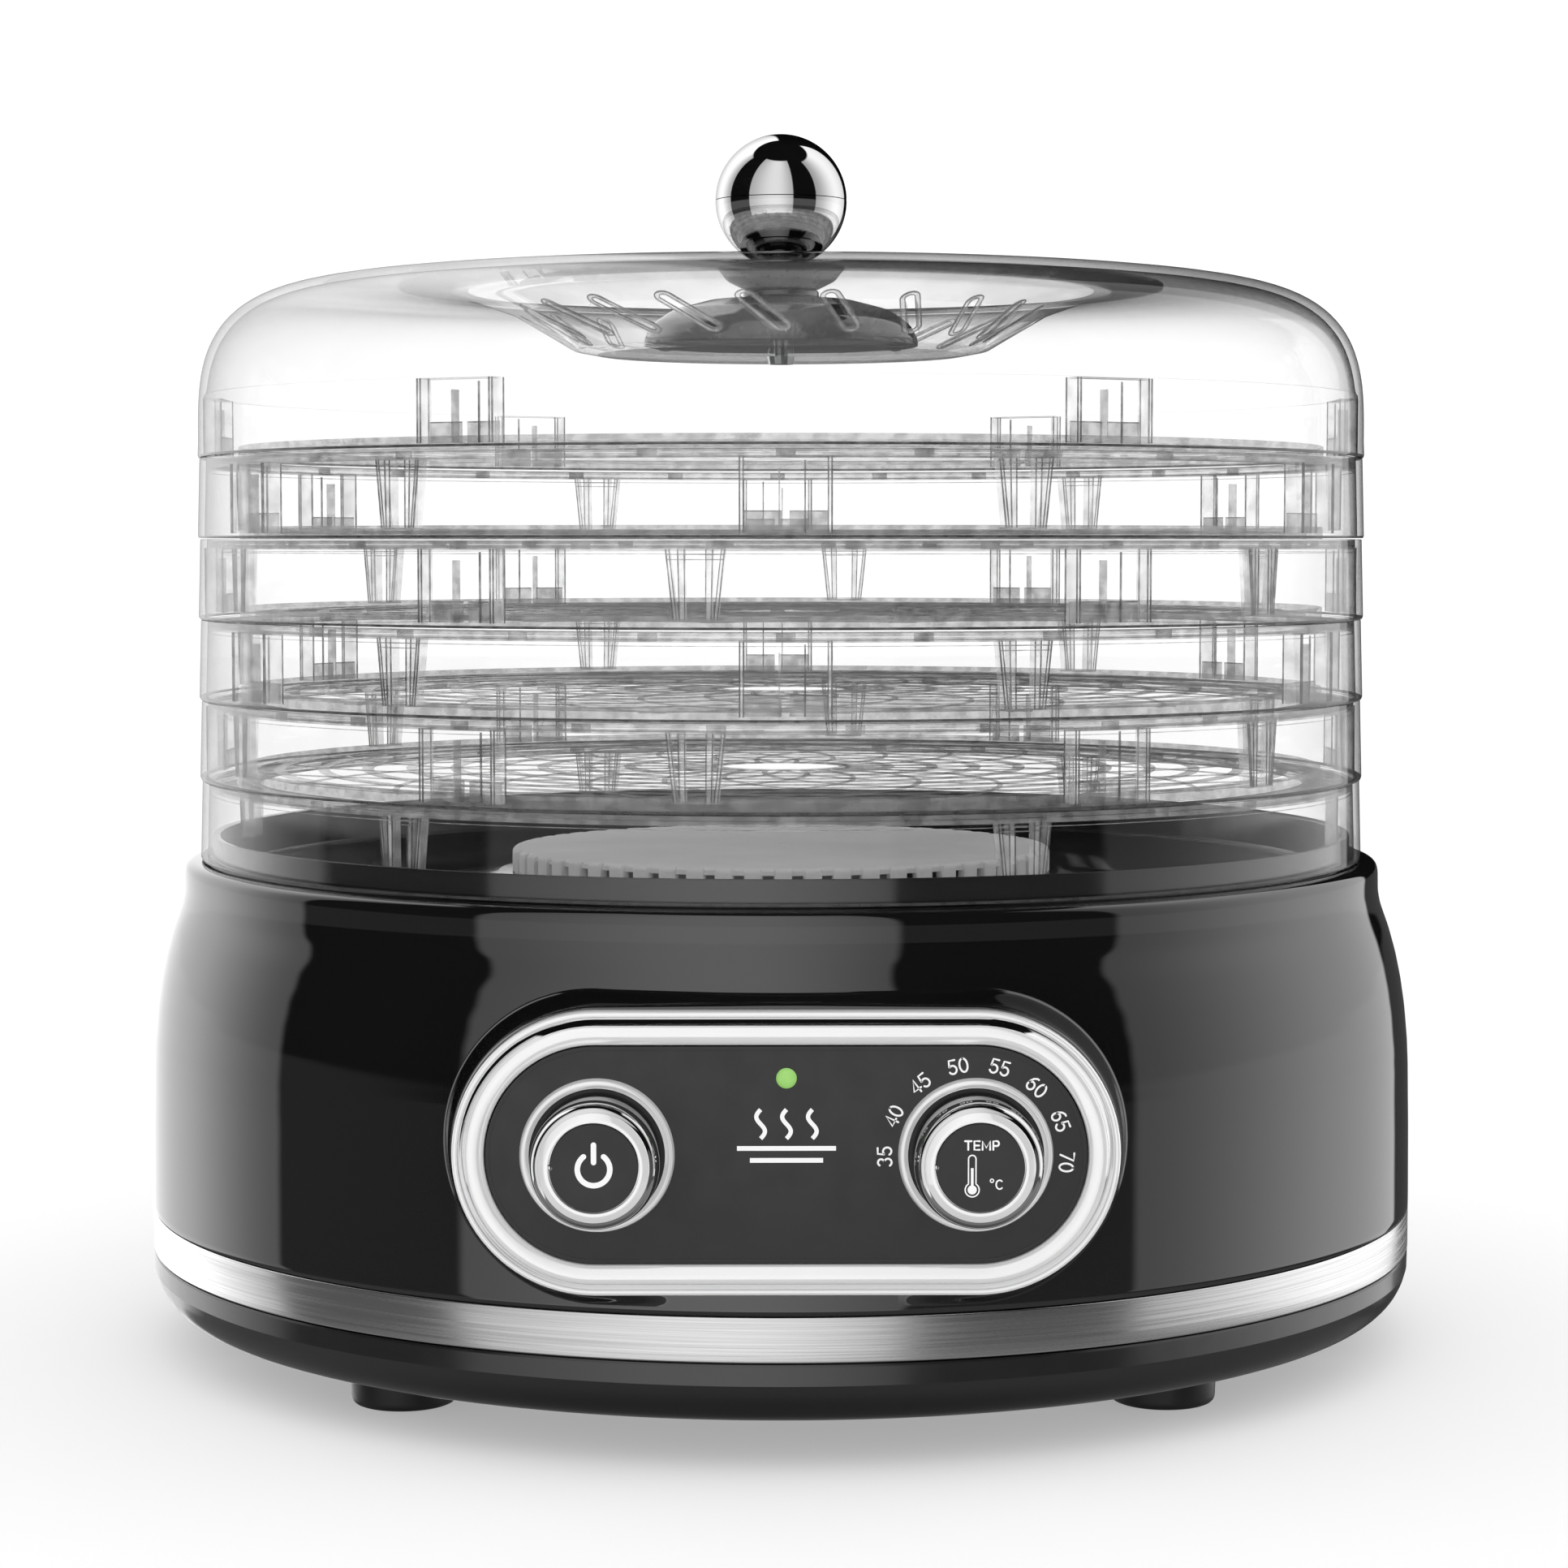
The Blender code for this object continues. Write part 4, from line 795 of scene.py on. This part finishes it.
def pocket(batch, angle, low, high):
    """An upright pocket on the inside of a ring's wall: two side plates, a low front in two halves and two ribs."""
    spin = turn(angle)
    half, inner, outer, thick, line, front_rise = 0.0109, 0.1540, 0.1585, 0.0009, 0.00016, 0.0049
    for side in (-1, 1):
        plate = sorted((side * half, side * (half - thick)))
        batch.box((inner, plate[0], low), (outer, plate[1], high), spin, PALE_VEILED)
        # Thin dark boxes along each plate's edges: painted shade.
        for y in (half, half - thick):
            batch.box((outer, side * y - line, low), (outer + 2 * line, side * y + line, high), spin, SHADE_OUTLINES)
        batch.box((inner - 2 * line, side * half - line, low), (inner, side * half + line, high), spin, SHADE_OUTLINES)
        front = sorted((side * 0.0009, side * (half - thick)))
        batch.box((inner, front[0], low), (inner + 0.0006, front[1], low + front_rise), spin, SHEETS)
        # The front's top strip is drawn dark: painted shade.
        batch.box((inner, front[0], low + front_rise), (inner + 0.0006, front[1], low + 0.0052), spin, SHADE_OUTLINES)
    # One rib is drawn dark, as painted shade; the other takes the grey veil.
    batch.box((inner + 0.0008, 0.0044, low), (inner + 0.0012, 0.0048, high - 0.0008), spin, SHADE_OUTLINES)
    batch.box((inner + 0.0008, -0.0017, low), (inner + 0.0036, -0.0013, high - 0.0028), spin, SHEETS)
    batch.box((inner, -half, high - 0.0003), (outer, half, high), spin)


def leg(batch, spin, radii, upper, lower, wide, heights, kind):
    """One upright bar of a hanging foot, whose sides draw in towards its lower end."""
    corners = []
    for z, y in ((heights[0], lower), (heights[1], upper)):
        for x, side in ((radii[0], -1), (radii[1], -1), (radii[1], 1), (radii[0], 1)):
            corners.append((x, y + side * wide / 2, z))
    batch.add(corners, BOX_FACES, spin, kind)


def post(batch, angle, heights):
    """A tapered hanging foot: two outer bars, and two hollow ribs between them."""
    spin = turn(angle)
    back, front = 0.1508, 0.1538
    bars, lines = (back, front), (front, front + 0.0003)
    for side in (-1, 1):
        # The bars take a pale veil, a painted highlight; the thin boxes in front of them are dark outlines of painted
        # shade.
        for radii, upper, lower, wide, kind in (
                (bars, 0.0067, 0.0049, 0.0008, PALE_VEILED), (lines, 0.0071, 0.0053, 0.00030, SHADE_OUTLINES),
                (lines, 0.0063, 0.0045, 0.00022, SHADE_OUTLINES), (bars, 0.0034, 0.0032, 0.0014, PALE_VEILED),
                (lines, 0.0042, 0.0038, 0.00026, SHADE_OUTLINES), (lines, 0.0026, 0.0025, 0.00022, SHADE_OUTLINES)):
            leg(batch, spin, radii, side * upper, side * lower, wide, heights, kind)
    batch.box((back, -0.0056, heights[0] - 0.0003), (lines[1], 0.0056, heights[0]), spin, SHEETS)
    for drop in (0.0012, 0.0024):
        top = heights[1] - drop
        batch.box((front, -0.0068, top - 0.0003), (lines[1], 0.0068, top), spin, SHEETS)


def tray_data(lowest=False):
    """One tray at its own origin: ring wall, openwork floor, pockets and hanging feet."""
    batch = Batch()
    wall = rounded([(0.1598 - WALL, TRAY_TOP), (0.1598, TRAY_TOP), (0.1604, 0.0005, 0.0003), (0.1603, 0.0003),
                    (0.1604 - WALL, 0.0003)], 0.00025, 3)
    batch.turned(wall, CLEAR_SIDES)
    # A dark ring at the wall's foot: painted shadow where this tray sits on the one below.
    batch.turned(block(0.1604 - WALL, 0.1602, 0.0, 0.0006), CLEAR_SIDES, GAP_SHADOWS)
    seat, low, high = 0.0188, 0.0215, 0.0236
    for inner, outer, top, bottom in ((0.1566, 0.1579, TRAY_TOP - 0.0003, TRAY_TOP - 0.0013),
                                      (0.1566, 0.1579, seat + 0.0012, seat),
                                      (0.1576, 0.1580, seat - 0.0008, seat - 0.0010)):
        batch.turned(block(inner, outer, bottom, top), CLEAR_SIDES, SHEETS)
    batch.turned(rounded(block(0.1450, 0.1566, 0.0192, 0.0210), 0.0003, 2), CLEAR_SIDES)
    notch = block(0.1570, 0.1578, seat + 0.0002, TRAY_TOP - 0.0004)
    for i in range(30):
        batch.turned(notch, 3, SHEETS, start=12 * i - 0.85, sweep=1.7)
    lip = rounded([(0.1478, high), (0.1489, high + 0.0012), (0.1493, high + 0.0012), (0.1493, low), (0.1450, low),
                   (0.1450, high)], 0.0002, 2)
    batch.turned(lip, CLEAR_SIDES, SHEETS)
    # The openwork floor takes the grey veil: painted shade.
    hub = 0.0181
    for k in range(11):
        radius = hub + 0.01209 * k
        batch.turned([(radius - 0.0016, high), (radius + 0.0016, high), (radius + 0.0014, high - 0.0004),
                      (radius - 0.0014, high - 0.0004)], 128, FLOORS)
    for twist in (-1, 1):
        for i in range(SPIRALS):
            start = 2 * math.pi * (i + (0.25 if twist > 0 else 0.0)) / SPIRALS
            line = []
            for k in range(25):
                radius, angle = hub + 0.1270 * k / 24, start + twist * math.radians(62) * (k / 24) ** 1.1
                line.append((radius * math.cos(angle), radius * math.sin(angle)))
            batch.ribbon(line, 0.0014, high - 0.0005, high - 0.0002, FLOORS)
    for i in range(6):
        if not lowest:
            pocket(batch, 60 * i, 0.0012, 0.0191)
        post(batch, 22 + 60 * i, (0.0024, 0.0191))
    return batch


def trays():
    common, lowest = tray_data(), tray_data(lowest=True)
    for number in range(1, 6):
        batch = lowest if number == 5 else common
        height = TRAY_SEAT_Z + (5 - number) * TRAY_PITCH
        place = AXIS @ move(0.0, 0.0, height) @ turn(-60 if number % 2 == 0 else -90)
        # The top tray's floor takes a lighter, thinner painted grey veil than the floors below it.
        finishes = CLEARS + [FAINT if number == 1 else SHEET]
        finish_mesh(f"clear_tray_{number}", batch.mesh(), finishes, f"tray_{number}",
                    [f"tray_{number}", f"tray_{number}_floor"], place, 30.0)


# Lid

FUNNEL_FLOOR = 0.2730
FUNNEL_RADIUS = 0.0860
SLOT_COUNT = 20
SLOT_SIZE = (0.0190, 0.0028)
SLOT_START = 13.6           # degrees from +X to the first slot
SLOT_TWIST = -32            # degrees from a slot's length to the line through the axis


def shoulder(inset):
    """Points of the lid's round shoulder, from its crest down to its wall."""
    crest_radius, wall_top, power, steps = 0.1058, 0.2462, 2 / 3.2, 28
    points = []
    for i in range(steps + 1):
        t = math.pi / 2 * (1 - i / steps) ** 1.25
        points.append((crest_radius + (0.1601 - inset - crest_radius) * math.cos(t) ** power,
                       wall_top + (0.2901 - inset - wall_top) * math.sin(t) ** power))
    return points


def slots():
    """The tools that cut the funnel's slots, and the rims round them."""
    cutters, rims = Batch(), Batch()
    slope = math.atan2(0.2834 - 0.2742, 0.0725 - 0.0565)
    for i in range(SLOT_COUNT):
        matrix = (turn(SLOT_START + 360 / SLOT_COUNT * i) @ move(0.0645, 0.0, 0.2789)
                  @ Matrix.Rotation(-slope, 4, "Y") @ turn(SLOT_TWIST))
        cutters.add(*stadium_plate(*SLOT_SIZE, -0.006, 0.006), matrix)
        # Each rim: a tube in a pale veil, a painted highlight, and two thin tubes as dark outlines of painted shade.
        for reach, across, kind in ((0.00055, 0.00055, PALE_VEILED), (0.00130, 0.00020, SHADE_OUTLINES), (0.0, 0.00014, SHADE_OUTLINES)):
            angles = [math.radians(60 * k) for k in range(6)]
            tube = [(reach + across * math.cos(a), 0.0004 + 1.2 * across * math.sin(a)) for a in angles]
            rims.add(*stadium_sweep(*SLOT_SIZE, tube, straight_steps=6, arc_steps=10), matrix, kind)
    return cutters, rims


def lid():
    low, seat = FUNNEL_FLOOR, LID_SEAT_Z
    upper = [(0.0022, low), (0.0500, low, 0.002), (0.0565, low + 0.0012, 0.003), (0.0725, 0.2834, 0.003),
             (FUNNEL_RADIUS, 0.2880, 0.02)]
    wall = [(0.16025, seat + 0.0006), (0.1600, seat), (0.1585, seat), (0.1584, 0.2586), (0.1580, 0.2588)]
    inside = [p for p in shoulder(0.0020)[::-1] if p[1] > 0.2600]
    lower = [(FUNNEL_RADIUS, 0.2860, 0.02), (0.0740, 0.2817, 0.003), (0.0575, low - 0.0010, 0.003),
             (0.0510, low - 0.0022, 0.002), (0.0022, low - 0.0022)]
    profile = rounded(upper + shoulder(0.0) + wall + inside + lower, 0.0, 5)
    obj = lathe("lid_cover", profile, CLEAR, "lid", ["lid_dome", "lid_funnel"], AXIS, CLEAR_SIDES,
                sharp=30.0)
    cutters, rims = slots()
    tool = link("slot_tool", cutters.mesh())
    tool.data.transform(AXIS)
    boolean = obj.modifiers.new("slots", "BOOLEAN")
    boolean.operation = "DIFFERENCE"
    boolean.solver = "EXACT"
    boolean.object = tool
    bpy.context.view_layer.update()
    cut = bpy.data.meshes.new_from_object(obj.evaluated_get(bpy.context.evaluated_depsgraph_get()))
    obj.modifiers.clear()
    obj.data = cut
    bpy.data.objects.remove(tool, do_unlink=True)
    # Up-facing faces of the funnel take the white veil: painted sheen.
    cut.materials.append(FUNNEL_SHEEN)
    for polygon in cut.polygons:
        x, y, _ = polygon.center
        if polygon.normal.z > 0.5 and math.hypot(x, y - AXIS_Y) < FUNNEL_RADIUS + 0.0002:
            polygon.material_index = 1
    # A dark ring at the lid wall's foot: painted shadow where the lid sits on the top tray.
    rims.turned(block(0.1587, 0.1599, seat + 0.0001, seat + 0.0007), CLEAR_SIDES, GAP_SHADOWS)
    # Two thin clear rings on the slope up to the crest, which the clear finish's glancing and limb darkening turn
    # into a dark line along the crest: painted shade.
    for rise in (0.0, 0.0006):
        rims.turned([(0.0915, 0.28735 + rise), (0.1055, 0.28865 + rise), (0.1055, 0.28895 + rise),
                     (0.0915, 0.28765 + rise)], CLEAR_SIDES)
    for i in range(6):
        pocket(rims, 60 * i - 60, seat + 0.0010, seat + 0.0166)
    finish_mesh("lid_slot_rims", rims.mesh(), CLEARS, "lid", (), AXIS, sharp=40.0)


def lid_knob():
    seat = FUNNEL_FLOOR + GAP
    saddle = rounded([(0.0022, 0.2886), (0.0105, 0.2886, 0.0008), (0.0105, 0.2866, 0.001), (0.0200, 0.2858, 0.006),
                      (0.0300, 0.2832, 0.01), (0.0360, 0.2792, 0.008), (0.0380, 0.2750, 0.004), (0.0380, seat),
                      (0.0022, seat)], 0.0002, 8)
    lathe("knob_base", saddle, BLACK, "lid", ["knob_saddle"], segments=96)
    under = 0.2886 + GAP
    saucer = rounded([(0.0022, under + 0.0030), (0.0088, under + 0.0032, 0.002), (0.0168, 0.2950, 0.0004),
                      (0.0180, 0.2952, 0.0005), (0.0150, under + 0.0024, 0.004), (0.0102, under, 0.002),
                      (0.0022, under)], 0.0002, 6)
    collar = lathe("knob_collar", saucer, [SATIN, BLACK], "lid", ["knob_saucer"], segments=96)
    for polygon in collar.data.polygons:
        polygon.material_index = 1 if polygon.normal.z > 0.3 else 0
    radius, centre, stem = 0.0182, 0.3134, 0.0065
    angles = [math.pi / 2 * i / 32 for i in range(32)]
    upper = [(radius * math.sin(a), centre + radius * math.cos(a)) for a in angles]
    upper += [(radius - 0.00004, centre + 0.00012), (radius - 0.0002, centre + 0.00006), (0.0, centre + 0.00006)]
    angles = [math.acos(stem / radius) * i / 32 for i in range(33)]
    lower = [(0.0, centre - 0.00006), (radius - 0.0002, centre - 0.00006)]
    lower += [(radius * math.cos(a), centre - 0.00010 - radius * math.sin(a)) for a in angles]
    lower += [(stem, under + 0.0035), (0.0, under + 0.0035)]
    for name, half, node in (("ball_top", upper, "knob_ball_upper"), ("ball_bottom", lower, "knob_ball_lower")):
        lathe(name, half, CHROME, "lid", [node], segments=128, closed=False, sharp=60.0)


housing()
chrome_band()
bottom_pan()
feet()
deck()
diffuser()
bezel()
fascia()
escutcheons()
knob("power", "button", -1, "power_button", "power_button_face")
knob("temp", "dial", 1, "temp_knob", "temp_knob_face")
led()
dial_numbers()
air_mark()
face_marks()
trays()
lid()
lid_knob()


# CAD pieces that stay, with better finishes

GALVANISED = metal("galvanised_steel", (0.52, 0.53, 0.54), 0.35, grain=90.0, wear=0.3)
STEEL = metal("machined_steel", (0.62, 0.62, 0.63), 0.22, grain=700.0)
WHITE_PLASTIC = moulded("white_plastic", (0.75, 0.75, 0.72), 0.45)
KEPT = {
    GALVANISED: ["motor_bracket", "motor", "air_duct", "control_plate", "thermostat", "knob_screw"]
    + [f"cover_screw_{n}" for n in range(1, 5)],
    STEEL: ["motor_shaft", "power_plunger", "temp_spindle"],
    WHITE_PLASTIC: ["fan_impeller", "terminal_block", "power_switch", "thermal_fuse"],
    moulded("mica", (0.50, 0.42, 0.30), 0.6, grain=200.0, mottling=0.3): ["heater_frame"],
    metal("heating_wire", (0.34, 0.28, 0.24), 0.4): ["heater_coil"],
    moulded("circuit_board", (0.03, 0.16, 0.06), 0.4): ["led_board"],
    RUBBER: ["cord_bush"],
    moulded("white_sleeve", (0.66, 0.66, 0.63), 0.5): ["supply_lead"],
    moulded("red_sleeve", (0.42, 0.03, 0.02), 0.45): ["live_lead", "heater_lead"],
    moulded("blue_sleeve", (0.03, 0.08, 0.38), 0.45): ["switch_link"],
}
for finish, names in KEPT.items():
    for name in names:
        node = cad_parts[name]
        node.data.materials.clear()
        node.data.materials.append(finish)


# Studio

def softbox(nodes, azimuth, elevation, sides, ends, level):
    """A lit rectangle in the surroundings that glossy finishes mirror, in degrees."""
    soft = 1.2
    for angle, (start, end) in ((azimuth, sides), (elevation, ends)):
        level = nodes.maths("MULTIPLY", level, nodes.ramp(angle, start - soft, start + soft))
        level = nodes.maths("MULTIPLY", level, nodes.ramp(angle, end - soft, end + soft, 1.0, 0.0))
    return level


def studio_world():
    """Even white light for direct and diffuse light, and softboxes over dark ground for what is mirrored."""
    world = bpy.data.worlds.new("studio")
    bpy.context.scene.world = world
    world.use_nodes = True
    nodes = Nodes(world.node_tree)
    direction = nodes.add("ShaderNodeTexCoord").outputs["Generated"]
    x, y, z = nodes.put(nodes.add("ShaderNodeSeparateXYZ"), Vector=direction).outputs
    azimuth = nodes.maths("MULTIPLY", nodes.maths("ARCTAN2", x, nodes.maths("MULTIPLY", y, -1.0)), 180 / math.pi)
    elevation = nodes.maths("MULTIPLY", nodes.maths("ARCSINE", z), 180 / math.pi)
    front = nodes.maths("SUBTRACT", nodes.ramp(azimuth, -62.0, -12.0, 0.42, 0.78),
                        nodes.ramp(azimuth, -8.0, 30.0, 0.0, 0.42))
    left = nodes.ramp(azimuth, -135.0, -98.0, 1.35, 0.42)
    right = nodes.ramp(azimuth, 60.0, 118.0, 0.34, 1.05)
    ground = nodes.ramp(elevation, -1.0, 0.5, 0.075, 0.004)
    pool = nodes.maths("MULTIPLY", nodes.ramp(elevation, -75.0, -30.0, 0.0, 0.11),
                       nodes.ramp(elevation, -24.0, -20.0, 1.0, 0.0))
    total = nodes.maths("ADD", ground, pool)
    for sides, ends, level in (((-177.0, -99.5), (-20.0, 57.0), left), ((-57.5, 21.0), (-26.0, 67.0), front),
                               ((63.5, 146.0), (-18.0, 59.0), right)):
        total = nodes.maths("ADD", total, softbox(nodes, azimuth, elevation, sides, ends, level))
    colour = nodes.put(nodes.add("ShaderNodeCombineXYZ"), X=total, Y=total, Z=total).outputs[0]
    mirrored = nodes.put(nodes.add("ShaderNodeBackground"), Color=colour)
    plain = nodes.put(nodes.add("ShaderNodeBackground"), Color=grey(1.0), Strength=1.15)
    path = nodes.add("ShaderNodeLightPath")
    glossy = nodes.maths("SUBTRACT", nodes.maths("MINIMUM", path.outputs["Glossy Depth"], 1.0),
                         path.outputs["Diffuse Depth"], clamp=True)
    nodes.surface(glossy, plain, mirrored, "ShaderNodeOutputWorld")


def floor():
    material, nodes, shader, place = new_material("pale_floor")
    tone = nodes.noise(place, 3.0, 2.0)
    bounce = 0.32               # light from the surroundings, which lightens shadows
    nodes.put(shader, Base_Color=nodes.blend(tone, grey(0.65), grey(0.67)), Roughness=0.9, Specular_IOR_Level=0.0,
              Emission_Color=grey(1.0), Emission_Strength=bounce)
    disc = lathe_data([(radius, 0.0) for radius in (0.0, 0.5, 2.0, 6.0)], 96, closed=False)
    obj = link("floor", mesh_from(*disc))
    obj.data.materials.append(material)
    obj.visible_glossy = False


def camera():
    """A long lens a little above the object, looking slightly down."""
    data = bpy.data.cameras.new("camera")
    data.sensor_width = 36.0
    data.lens = 82.86
    data.clip_start, data.clip_end = 0.01, 50.0
    obj = link("camera", data)
    obj.location = (-0.0072, AXIS_Y - 1.008, 0.219)
    obj.rotation_euler = (math.radians(90 - 3.83), 0.0, math.radians(-0.457))
    bpy.context.scene.camera = obj


studio_world()
floor()
camera()
scene = bpy.context.scene
scene.view_settings.view_transform = "Standard"
CLEAR_WALLS = 40            # clear walls that light may pass through on its way
scene.cycles.max_bounces = CLEAR_WALLS
scene.cycles.transmission_bounces = CLEAR_WALLS
scene.cycles.transparent_max_bounces = CLEAR_WALLS
scene.cycles.glossy_bounces = 6
